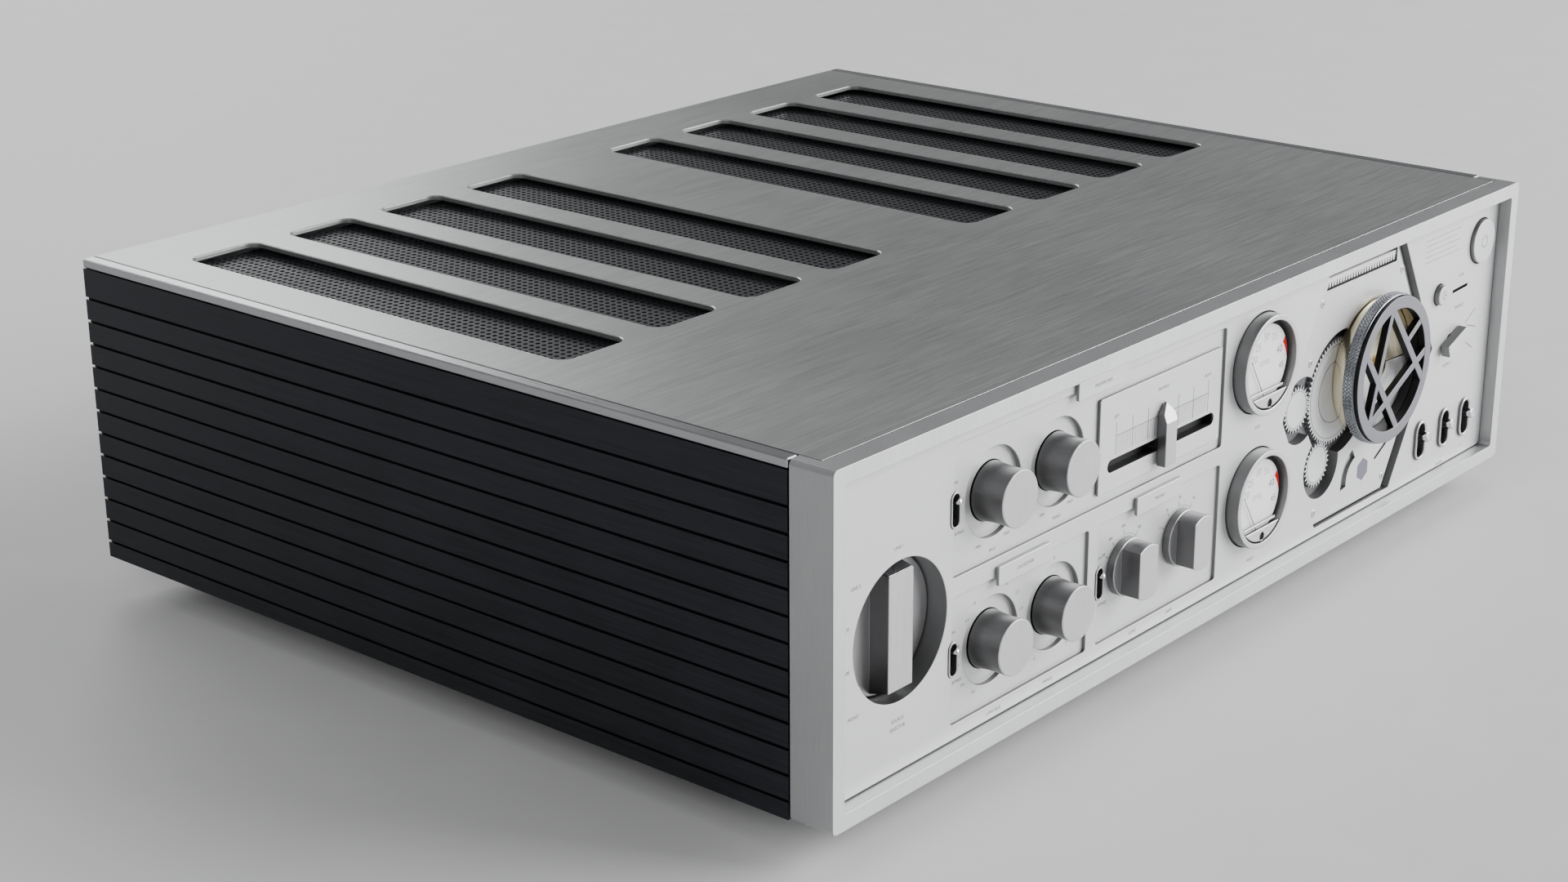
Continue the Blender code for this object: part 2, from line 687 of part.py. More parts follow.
def make_selector_lever():
    """A low pointer with its arrow end to the right, turning on a short shaft."""
    half = 2.45
    tail = 7.6
    shoulder = 7.4
    tip = 10.6
    x, z = LEVER_AT
    outline = [(x - tail, z - half), (x + shoulder, z - half), (x + tip, z), (x + shoulder, z + half),
               (x - tail, z + half)]
    body = prism("output_lever", turn_points(outline, LEVER_AT, LEVER_TILT),
                 (LEVER_FRONT, PANEL_FACE - GAP))
    add(body, rod("lever_shaft", LEVER_AT, 2.2, (PANEL_FACE - 1.0, 20.0), steps=16))
    return body


# ---------------------------------------------------------------- meters
def make_meter_housing(name, centre):
    """A cup with a rim, a stand for the dial and a cover over the needle's pivot."""
    chamfer = 0.3
    floor = METER_BACK - 1.5
    stand_r = 11.5
    profile = [
        (0.0, DIAL_BACK + GAP), (stand_r, DIAL_BACK + GAP), (stand_r, floor), (METER_BORE_R, floor),
        (METER_BORE_R, chamfer), (METER_BORE_R + chamfer, 0.0), (METER_R - chamfer, 0.0),
        (METER_R, chamfer), (METER_R, METER_BACK), (0.0, METER_BACK),
    ]
    housing = lathe(name + "_housing", centre, profile, SILVER, steps=32)
    drop = 10.8
    reach = METER_BORE_R + 0.8
    lean = acos(drop / reach)
    outline = arc(centre, reach, 1.5 * pi - lean, 1.5 * pi + lean, 8)
    add(housing, prism(name + "_cover", outline, PIVOT_COVER_Y))
    cut(housing, rod(name + "_eye", (centre[0], centre[1] - NEEDLE_DROP), 1.6, (-1.0, 2.6), steps=12))
    return housing


def make_dial(name, centre):
    chord = 12.0
    lean = acos(chord / DIAL_R)
    outline = arc(centre, DIAL_R, 1.5 * pi + lean, 3.5 * pi - lean, 28)
    return prism(name + "_dial", outline, (DIAL_FRONT, DIAL_BACK), DIAL_WHITE)


def make_needle(name, centre):
    """A thin tapering pointer on a hub under the pivot cover."""
    pivot = (centre[0], centre[1] - NEEDLE_DROP)
    blade = [(pivot[0] - 0.3, pivot[1] - 0.5), (pivot[0] + 0.3, pivot[1] - 0.5),
             (pivot[0] + 0.12, pivot[1] + NEEDLE_LENGTH), (pivot[0] - 0.12, pivot[1] + NEEDLE_LENGTH)]
    profile = [(0.0, 1.5), (1.2, 1.5), (1.2, 2.5), (0.6, 2.5), (0.6, 9.0), (0.0, 9.0)]
    hub = lathe(name + "_needle", pivot, profile, INK, steps=8)
    add(hub, prism(name + "_blade", turn_points(blade, pivot, NEEDLE_REST), (1.9, 2.2)))
    return hub


# ---------------------------------------------------------------- geared volume control
def gear_outline(centre, teeth, tooth_angle, backlash=0.2):
    """A spur gear's outline: straight flanks between an involute's root and tip points."""
    pressure = radians(20.0)
    pitch_r = MODULE * teeth / 2
    base_r = pitch_r * cos(pressure)
    tip_r = pitch_r + 0.95 * MODULE
    root_r = pitch_r - 1.25 * MODULE
    half_at_pitch = (pi * MODULE / 2 - backlash) / (2 * pitch_r)

    def half_angle(radius):
        slope = acos(min(1.0, base_r / max(radius, base_r)))
        return half_at_pitch + (tan(pressure) - pressure) - (tan(slope) - slope)

    points = []
    for tooth in range(teeth):
        middle = tooth_angle + 2 * pi * tooth / teeth
        for radius, side in ((root_r, -1), (tip_r, -1), (tip_r, 1), (root_r, 1)):
            points.append(polar(centre, radius, middle + side * half_angle(radius)))
    return points


def gear_places():
    """Centres of the gears that mesh with the main gear, and the angle of one tooth on each."""
    pitch = 2 * pi / MAIN_TEETH
    places = {"main": (MAIN_AT, LEFT_DIRECTION)}
    followers = (
        ("left", SMALL_TEETH, LEFT_DIRECTION),
        ("lower", SMALL_TEETH, LOWER_DIRECTION),
        ("pinion", PINION_TEETH, PINION_DIRECTION),
    )
    for name, teeth, direction in followers:
        centre = polar(MAIN_AT, MODULE * (MAIN_TEETH + teeth) / 2, direction)
        offset = (LEFT_DIRECTION - direction) % pitch
        gap_angle = direction + pi - offset * MAIN_TEETH / teeth
        places[name] = (centre, gap_angle + pi / teeth)
    return places


GEARS = gear_places()
VOLUME_AT = GEARS["pinion"][0]


def make_gear(name, key, teeth, shaft_r):
    centre, angle = GEARS[key]
    gear = prism(name, gear_outline(centre, teeth, angle), (GEAR_FACE, GEAR_BACK), SILVER)
    add(gear, rod(name + "_shaft", centre, shaft_r, (GEAR_BACK - 0.5, 16.0), steps=8))
    set_origin(gear, centre[0], GEAR_FACE, centre[1])


def make_gear_plate():
    """The inset plate: a hexagon with pockets for the gears and the volume control."""
    flange = arc(HEX_AT, HEX_FLANGE_R, 0.0, 5 * pi / 3, 5)
    plate = prism("gear_plate", flange, (PANEL_BACK + GAP, GEAR_PLATE_BACK))
    body = arc(HEX_AT, HEX_R - 0.4, 0.0, 5 * pi / 3, 5)
    inset = 3.0 / cos(radians(30.0))
    boss = [(x - inset, z) if x > HEX_AT[0] else (x, z) for x, z in body]
    add(plate, prism("gear_plate_body", body, (GROOVE_FLOOR, PANEL_BACK + 1.0)),
        prism("gear_plate_boss", boss, (PLATE_FACE, GROOVE_FLOOR + 0.5)))
    ahead = PLATE_FACE - THROUGH
    behind = GEAR_PLATE_BACK + THROUGH
    cut(plate, rod("collar_pocket", VOLUME_AT, COLLAR_R + 0.6, (ahead, GEAR_FACE + 0.1), steps=40))
    cut(plate, rod("main_pocket", MAIN_AT, MAIN_POCKET_R, (ahead - 0.1, POCKET_FLOOR), steps=40))
    for key in ("left", "lower"):
        cut(plate, rod(key + "_pocket", GEARS[key][0], SMALL_POCKET_R,
                       (ahead - 0.2, POCKET_FLOOR + 0.05), steps=28))
        cut(plate, rod(key + "_bearing", GEARS[key][0], SMALL_SHAFT_R + GAP, (ahead, behind), steps=8))
    cut(plate, rod("pinion_pocket", VOLUME_AT, PINION_POCKET_R, (ahead - 0.3, POCKET_FLOOR + 0.1),
                   steps=12))
    cut(plate, rod("main_bearing", MAIN_AT, MAIN_SHAFT_R + GAP, (ahead, behind), steps=8))
    cut(plate, rod("spindle_bearing", VOLUME_AT, SHAFT_R + GAP + 0.1, (ahead, behind), steps=12))
    cut(plate, block("comb_window", COMB_X, (ahead, GROOVE_FLOOR + 0.8), COMB_WINDOW_Z))
    curved = arc(CURVED_SLOT_AT, CURVED_SLOT_R[0], radians(110.0), radians(190.0), 6)
    curved += arc(CURVED_SLOT_AT, CURVED_SLOT_R[1], radians(190.0), radians(114.0), 6)
    cut(plate, prism("curved_slot", curved, (ahead, PLATE_FACE + SLOT_DEPTH)))
    slanted = tilted_slot(SLANTED_SLOT_AT, 11.0, 1.3, SLANTED_SLOT_TILT)
    cut(plate, prism("slanted_slot", slanted, (ahead, PLATE_FACE + SLOT_DEPTH)))
    return plate


def make_scale_comb():
    """A strip with a row of teeth pointing down."""
    low = 101.0
    root = 103.0
    high = 104.6
    start = (COMB_X[0] + COMB_X[1]) / 2 - COMB_PITCH * COMB_TEETH / 2
    outline = [(start + COMB_PITCH * COMB_TEETH, high), (start, high)]
    for tooth in range(COMB_TEETH):
        left = start + COMB_PITCH * tooth
        outline += [(left, root), (left + 0.35, low), (left + 1.25, low), (left + 1.6, root)]
    outline.append((start + COMB_PITCH * COMB_TEETH, root))
    return prism("scale_comb", outline, (GROOVE_FLOOR - 1.0, GROOVE_FLOOR + 0.5), DIAL_WHITE)


def make_volume_barrel():
    """The knurled grip ring, open through the middle."""
    bore = COLLAR_R + 0.5
    profile = [(bore, -2.4), (BARREL_R - 0.4, -2.4), (BARREL_R, -2.0), (BARREL_R, 1.8),
               (BARREL_R - 0.4, 2.2), (bore, 2.2)]
    return lathe("volume_barrel", VOLUME_AT, profile, STEEL, steps=48)


def strut(name, start, end, width, span):
    """A straight bar between two points of the lattice."""
    dx = end[0] - start[0]
    dz = end[1] - start[1]
    length = hypot(dx, dz)
    nx = -dz / length * width / 2
    nz = dx / length * width / 2
    outline = [(start[0] + nx, start[1] + nz), (start[0] - nx, start[1] - nz),
               (end[0] - nx, end[1] - nz), (end[0] + nx, end[1] + nz)]
    return prism(name, outline, span)


def make_volume_lattice():
    """The front ring and the crossing struts inside it."""
    face = KNOB_FRONT
    back = -1.0
    profile = [(RING_BORE_R, face), (RING_R - 0.2, face), (RING_R, face + 0.2), (RING_R, face + 0.9),
               (RING_BORE_R + 2.0, face + 0.9), (RING_BORE_R + 2.0, back), (RING_BORE_R, back)]
    ring = lathe("volume_lattice", VOLUME_AT, profile, GUNMETAL, steps=44)
    reach = RING_BORE_R + 1.0
    high = polar(VOLUME_AT, reach, radians(99.0))
    right = polar(VOLUME_AT, reach, radians(-21.0))
    low_left = polar(VOLUME_AT, reach, radians(226.0))
    left = polar(VOLUME_AT, reach, radians(154.0))
    low = polar(VOLUME_AT, reach, radians(-78.0))
    right_mid = polar(VOLUME_AT, reach, radians(5.0))
    right_high = polar(VOLUME_AT, reach, radians(38.0))
    fork = (high[0] + (right[0] - high[0]) * 0.47, high[1] + (right[1] - high[1]) * 0.47)
    bars = ((high, right, 3.0), (high, low_left, 2.5), (left, low, 2.9), (low_left, right_mid, 2.9),
            (fork, right_high, 2.5))
    for number, (start, end, width) in enumerate(bars):
        drop = 0.02 * number
        add(ring, strut(f"strut_{number}", start, end, width, (face + 0.15 + drop, back - 0.1 - drop)))
    return ring


def make_volume_collar():
    """The brass barrel behind the grip, with a web that carries the spindle."""
    inner = COLLAR_R - 1.6
    web_front = 4.0
    web_back = 5.6
    bore = SHAFT_R + GAP
    profile = [
        (bore, web_front), (inner, web_front), (inner, -0.4), (COLLAR_R, -0.4), (COLLAR_R, GEAR_FACE - GAP),
        (inner, GEAR_FACE - GAP), (inner, web_back), (bore, web_back),
    ]
    return lathe("volume_collar", VOLUME_AT, profile, BRASS, steps=40)


def make_volume_spindle():
    """The shaft with the hidden pinion that drives the main gear."""
    thin = 1.9
    profile = [(0.0, 2.4), (5.0, 2.4), (5.0, 3.7), (SHAFT_R, 3.7), (SHAFT_R, GEAR_FACE - 0.5),
               (thin, GEAR_FACE - 0.5), (thin, SHAFT_END), (0.0, SHAFT_END)]
    spindle = lathe("volume_spindle", VOLUME_AT, profile, STEEL, steps=12)
    centre, angle = GEARS["pinion"]
    add(spindle, prism("pinion_teeth", gear_outline(centre, PINION_TEETH, angle, PINION_BACKLASH),
                       (GEAR_FACE + 0.2, GEAR_BACK - 0.2)))


# ---------------------------------------------------------------- inside
def make_transformer():
    """A wound ring on its fixing disc."""
    profile = [
        (14.0, 52.0), (22.0, 54.0), (50.0, 54.0), (57.0, 50.0), (60.0, 42.0), (60.0, 14.0), (55.0, 5.0),
        (48.0, BASE_THICK + GAP), (14.0, BASE_THICK + GAP),
    ]
    return lathe("transformer", TRANSFORMER_AT, profile, WINDING, "z", 20)


def make_main_board():
    level = MAIN_BOARD_LEVEL
    board = block("main_board", (-118.0, 118.0), (180.0, 330.0), (level, level + BOARD_THICK),
                  BOARD_GREEN)
    for x in (-108.0, 108.0):
        for y in (190.0, 320.0):
            add(board, rod(f"standoff_{x:.0f}_{y:.0f}", (x, y), 3.5, (BASE_THICK + GAP, level + 1.0),
                           axis="z", steps=12))
    for number in range(4):
        x = -90.0 + 60.0 * number
        add(board, block(f"relay_{number}", (x - 9.0, x + 9.0), (292.0, 312.0),
                         (level + 1.0, level + 17.0)))
    return board


def make_capacitor(name, x):
    level = MAIN_BOARD_LEVEL + BOARD_THICK + GAP
    top = level + CAPACITOR_HEIGHT
    profile = [(0.0, top), (CAPACITOR_R - 1.5, top), (CAPACITOR_R, top - 1.5), (CAPACITOR_R, level),
               (0.0, level)]
    return lathe(name, (x, CAPACITOR_Y), profile, SLEEVE, "z", 16)


def make_heat_sink(name, side):
    """An upright plate with fins that point outwards, under the cooling slots."""
    plate_in = 128.0
    plate_out = 134.0
    tip = 192.0
    fin = 2.2
    count = 9
    start = 190.0
    end = 326.0
    step = (end - start - fin) / (count - 1)
    outline = [(plate_in, start), (tip, start)]
    for number in range(count - 1):
        base = start + step * number
        outline += [(tip, base + fin), (plate_out, base + fin), (plate_out, base + step),
                    (tip, base + step)]
    outline += [(tip, end), (plate_in, end)]
    outline = [(side * x, y) for x, y in outline]
    return prism(name, outline, (BASE_THICK + GAP, 98.0), BLACK, "z")


def make_control_board():
    """The upright board behind the front panel, with the pots and switch bodies on it."""
    front = CONTROL_BOARD_FRONT
    board = block("control_board", (-200.0, 204.0), (front, front + BOARD_THICK), (12.0, 104.0),
                  BOARD_GREEN)
    pot_front = SHAFT_END + GAP
    add(board, rod("selector_switch", SELECTOR_AT, 13.0, (pot_front, front + 0.8), steps=12))
    pots = dict(ROUND_KNOBS)
    pots.update(BAR_KNOBS)
    pots["volume"] = VOLUME_AT
    for name, centre in pots.items():
        add(board, rod(name + "_pot", centre, 8.0, (pot_front, front + 0.8), steps=6))
    add(board, block("slider_pot", (-70.0, 0.0), (16.0, front + 0.8), (68.0, 78.0)))
    bodies = dict(PIN_TOGGLES)
    bodies.update(BAT_TOGGLES)
    bodies.update({"power": POWER_AT, "button": BUTTON_AT})
    for name, (x, z) in bodies.items():
        add(board, block(name + "_body", (x - 5.0, x + 5.0), (SWITCH_FRONT, front + 0.8),
                         (z - 6.0, z + 6.0)))
    return board


# ---------------------------------------------------------------- back
def shrunk_block(name, area, margin, span):
    """A block over a (left, right, low, high) area, smaller by the margin all round."""
    return block(name, (area[0] + margin, area[1] - margin), span, (area[2] + margin, area[3] - margin))


def make_rear_panel():
    panel = block("rear_panel", (-INNER_HALF, INNER_HALF), (REAR_FACE - REAR_THICK, REAR_FACE),
                  (BASE_THICK + GAP, MESH_TOP - MESH_THICK), ZINC)
    through = (REAR_FACE - REAR_THICK - THROUGH, REAR_FACE + THROUGH)
    for name, area in (("jack_hole", JACK_AREA), ("post_hole", POST_AREA), ("inlet_hole", INLET_AREA)):
        cut(panel, shrunk_block(name, area, HOLE_MARGIN, through))


def terminal_plate(name, area, material):
    """A flange outside the rear panel with a plug that fills the panel's hole."""
    plate = block(name, area[0:2], (REAR_FACE + GAP, FLANGE_FACE), area[2:4], material)
    add(plate, shrunk_block(name + "_plug", area, HOLE_MARGIN + 0.4, (PLUG_FRONT, REAR_FACE + 1.0)))
    return plate


def make_input_jacks():
    plate = terminal_plate("input_jacks", JACK_AREA, PLASTIC)
    for x in JACK_COLUMNS:
        for z in JACK_ROWS:
            add(plate, rod(f"jack_{x:.0f}_{z:.0f}", (x, z), JACK_R, (FLANGE_FACE - 1.0, JACK_BACK),
                           steps=10))


def make_speaker_terminals():
    plate = terminal_plate("speaker_terminals", POST_AREA, PLASTIC)
    for number, centre in enumerate(POST_PLACES):
        add(plate, rod(f"post_{number}", centre, POST_R, (FLANGE_FACE - 1.0, TERMINAL_BACK), steps=10))


def make_mains_inlet():
    """A chassis inlet: a flange, a body behind it and three blades in the cavity."""
    inlet = terminal_plate("mains_inlet", INLET_AREA, PLASTIC)
    x = (INLET_AREA[0] + INLET_AREA[1]) / 2
    z = (INLET_AREA[2] + INLET_AREA[3]) / 2
    cavity_floor = 341.0
    mouth = [(x - 12.0, z - 8.0), (x + 12.0, z - 8.0), (x + 12.0, z + 4.0), (x + 8.0, z + 8.0),
             (x - 8.0, z + 8.0), (x - 12.0, z + 4.0)]
    cut(inlet, prism("inlet_cavity", mouth, (cavity_floor, FLANGE_FACE + THROUGH)))
    for dx, dz in ((-7.0, -2.0), (0.0, 2.0), (7.0, -2.0)):
        add(inlet, block(f"blade_{dx:.0f}", (x + dx - 1.0, x + dx + 1.0), (cavity_floor - 1.0, 348.0),
                         (z + dz - 2.0, z + dz + 2.0)))


def main():
    make_base()
    make_front_frame()
    make_front_panel()
    make_top_cover()
    make_vent_mesh()
    for word, side in (("left", -1), ("right", 1)):
        make_side("side_panel_" + word, side)
        make_rail("side_rail_" + word, side)
        make_heat_sink("heat_sink_" + word, side)
        make_capacitor("capacitor_" + word, side * 30.0)
    make_rear_panel()
    for name, centre in FEET.items():
        make_foot(name, centre)
    make_slider_plate()
    for name, area in TABS.items():
        make_tab(name, area)
    make_source_selector()
    for name, centre in ROUND_KNOBS.items():
        make_round_knob(name, centre)
    for name, centre in BAR_KNOBS.items():
        make_bar_knob(name, centre)
    set_origin(make_balance_slider(), SLIDER_X, PANEL_FACE, 73.0)
    for name, centre in PIN_TOGGLES.items():
        make_pin_toggle(name, centre)
    for name, centre in BAT_TOGGLES.items():
        make_bat_toggle(name, centre)
    make_button("power_button", POWER_AT, POWER_R, 3.35)
    make_button("small_button", BUTTON_AT, BUTTON_R, 2.8)
    set_origin(make_selector_lever(), LEVER_AT[0], PANEL_FACE, LEVER_AT[1])
    for name, centre in METERS.items():
        make_meter_housing(name, centre)
        make_dial(name, centre)
        make_needle(name, centre)
    make_gear_plate()
    make_scale_comb()
    make_gear("main_gear", "main", MAIN_TEETH, MAIN_SHAFT_R)
    make_gear("left_gear", "left", SMALL_TEETH, SMALL_SHAFT_R)
    make_gear("lower_gear", "lower", SMALL_TEETH, SMALL_SHAFT_R)
    make_volume_barrel()
    make_volume_lattice()
    make_volume_collar()
    make_volume_spindle()
    make_transformer()
    make_main_board()
    make_control_board()
    make_input_jacks()
    make_speaker_terminals()
    make_mains_inlet()
    weld_seams()


main()
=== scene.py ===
"""The amplifier's looks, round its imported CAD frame.

Lengths are millimetres in the cabinet's own frame: x to the right, y back from the
bezel's front face, z up from the cabinet's underside. at() turns them into metres.
"""

from math import acos, cos, hypot, pi, radians, sin

import bmesh
import bpy
from mathutils import Matrix, Quaternion, Vector


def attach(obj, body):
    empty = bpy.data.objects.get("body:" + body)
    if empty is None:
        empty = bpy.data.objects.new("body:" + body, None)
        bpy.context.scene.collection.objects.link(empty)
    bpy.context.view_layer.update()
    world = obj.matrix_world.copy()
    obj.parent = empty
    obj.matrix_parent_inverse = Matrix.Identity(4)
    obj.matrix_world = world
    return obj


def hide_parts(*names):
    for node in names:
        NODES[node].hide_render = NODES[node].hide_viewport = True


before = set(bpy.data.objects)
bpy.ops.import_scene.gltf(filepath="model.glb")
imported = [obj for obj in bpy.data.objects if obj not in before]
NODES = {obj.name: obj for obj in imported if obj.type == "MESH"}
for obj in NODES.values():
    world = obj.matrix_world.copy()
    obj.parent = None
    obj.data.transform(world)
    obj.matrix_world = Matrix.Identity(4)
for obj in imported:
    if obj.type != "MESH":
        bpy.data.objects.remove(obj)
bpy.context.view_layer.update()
MM = 0.001
FACE = 5.0  # the front panel's face
FLOOR = 6.2  # the floor of its sunken sections
FRONT = -3.99  # the foremost faces, a hair inside the CAD's box
UNDERSIDE = -11.99  # the lowest ones
SHAFT_END = 22.2
TOGGLE_PIVOT = 11.0
TOP = 115.0
BACK = 347.5
MESH_TOP = 111.2
VENTS = [side * (40.5 + 45.1 * column) for side in (-1, 1) for column in range(4)]
VENT_HALF = 15.25
VENT_FRONT = 130.0
VENT_BACK = 318.5


def at(x, y, z):
    return Vector((x * MM, (y - 178.0) * MM, (z + 12.0) * MM))


def polar(centre, radius, angle):
    return (centre[0] + radius * cos(angle), centre[1] + radius * sin(angle))


# ---------------------------------------------------------------- materials
def material(name, colour, rough, metallic=0.0, grain=(300, 300, 300), shade=0.06, spread=0.05,
             bump=0.1, depth=0.05, edge=0.0, spec=0.5, coat=0.0, smudge=40.0, wall_shade=1.0, ledge_shade=1.0):
    """A finish with grain stretched by the three scales, smudges and softened edges (mm).

    shade and spread are how far the tone and the roughness wander, bump and depth are the
    grain's relief. The last two factors are painted shade: the first darkens the walls that
    don't face the front, the second darkens those that face up once more.
    """
    m = bpy.data.materials.new(name)
    m.use_nodes = True
    nodes = m.node_tree.nodes
    link = m.node_tree.links.new
    shader = nodes["Principled BSDF"]
    shader.inputs["Metallic"].default_value = metallic
    shader.inputs["Specular IOR Level"].default_value = spec
    shader.inputs["Coat Weight"].default_value = coat
    place = nodes.new("ShaderNodeTexCoord")
    stretch = nodes.new("ShaderNodeMapping")
    stretch.inputs["Scale"].default_value = grain
    link(place.outputs["Object"], stretch.inputs["Vector"])
    streaks = nodes.new("ShaderNodeTexNoise")
    streaks.inputs["Scale"].default_value = 1.0
    streaks.inputs["Detail"].default_value = 4.0
    streaks.inputs["Roughness"].default_value = 0.65
    link(stretch.outputs["Vector"], streaks.inputs["Vector"])
    cloud = nodes.new("ShaderNodeTexNoise")
    cloud.inputs["Scale"].default_value = smudge
    cloud.inputs["Detail"].default_value = 3.0
    link(place.outputs["Object"], cloud.inputs["Vector"])
    both = nodes.new("ShaderNodeMix")
    both.inputs["Factor"].default_value = 0.3
    link(streaks.outputs["Fac"], both.inputs["A"])
    link(cloud.outputs["Fac"], both.inputs["B"])
    ramp = nodes.new("ShaderNodeMapRange")
    ramp.inputs["From Min"].default_value = 0.3
    ramp.inputs["From Max"].default_value = 0.7
    link(both.outputs["Result"], ramp.inputs["Value"])
    tone = nodes.new("ShaderNodeMix")
    tone.data_type = "RGBA"
    tone.inputs["A"].default_value = (*[c * (1 - shade) for c in colour], 1)
    tone.inputs["B"].default_value = (*[min(1, c * (1 + shade)) for c in colour], 1)
    link(ramp.outputs["Result"], tone.inputs["Factor"])
    colour_out = tone.outputs["Result"]
    # Painted shade: walls that don't face the front get a darker colour.
    if wall_shade < 1:
        facing = nodes.new("ShaderNodeNewGeometry")
        parts = nodes.new("ShaderNodeSeparateXYZ")
        link(facing.outputs["Normal"], parts.inputs["Vector"])
        wall = nodes.new("ShaderNodeMapRange")
        wall.inputs["From Min"].default_value = -0.68
        wall.inputs["From Max"].default_value = -0.3
        link(parts.outputs["Y"], wall.inputs["Value"])
        painted_wall_shade = nodes.new("ShaderNodeMix")
        painted_wall_shade.data_type = "RGBA"
        painted_wall_shade.blend_type = "MULTIPLY"
        painted_wall_shade.inputs["B"].default_value = (wall_shade, wall_shade, wall_shade, 1)
        link(wall.outputs["Result"], painted_wall_shade.inputs["Factor"])
        link(colour_out, painted_wall_shade.inputs["A"])
        colour_out = painted_wall_shade.outputs["Result"]
    # Painted shade: walls that face up get darker once more.
    if ledge_shade < 1:
        painted_ledge_shade = nodes.new("ShaderNodeMix")
        painted_ledge_shade.data_type = "RGBA"
        painted_ledge_shade.blend_type = "MULTIPLY"
        painted_ledge_shade.inputs["B"].default_value = (ledge_shade, ledge_shade, ledge_shade, 1)
        link(parts.outputs["Z"], painted_ledge_shade.inputs["Factor"])
        link(colour_out, painted_ledge_shade.inputs["A"])
        colour_out = painted_ledge_shade.outputs["Result"]
    link(colour_out, shader.inputs["Base Color"])
    gloss = nodes.new("ShaderNodeMapRange")
    gloss.inputs["From Min"].default_value = 0.3
    gloss.inputs["From Max"].default_value = 0.7
    gloss.inputs["To Min"].default_value = max(0.02, rough - spread)
    gloss.inputs["To Max"].default_value = min(1.0, rough + spread)
    link(both.outputs["Result"], gloss.inputs["Value"])
    link(gloss.outputs["Result"], shader.inputs["Roughness"])
    relief = nodes.new("ShaderNodeBump")
    relief.inputs["Strength"].default_value = bump
    relief.inputs["Distance"].default_value = depth * MM
    link(streaks.outputs["Fac"], relief.inputs["Height"])
    if edge:
        soft = nodes.new("ShaderNodeBevel")
        soft.samples = 4
        soft.inputs["Radius"].default_value = edge * MM
        link(soft.outputs["Normal"], relief.inputs["Normal"])
    link(relief.outputs["Normal"], shader.inputs["Normal"])
    return m


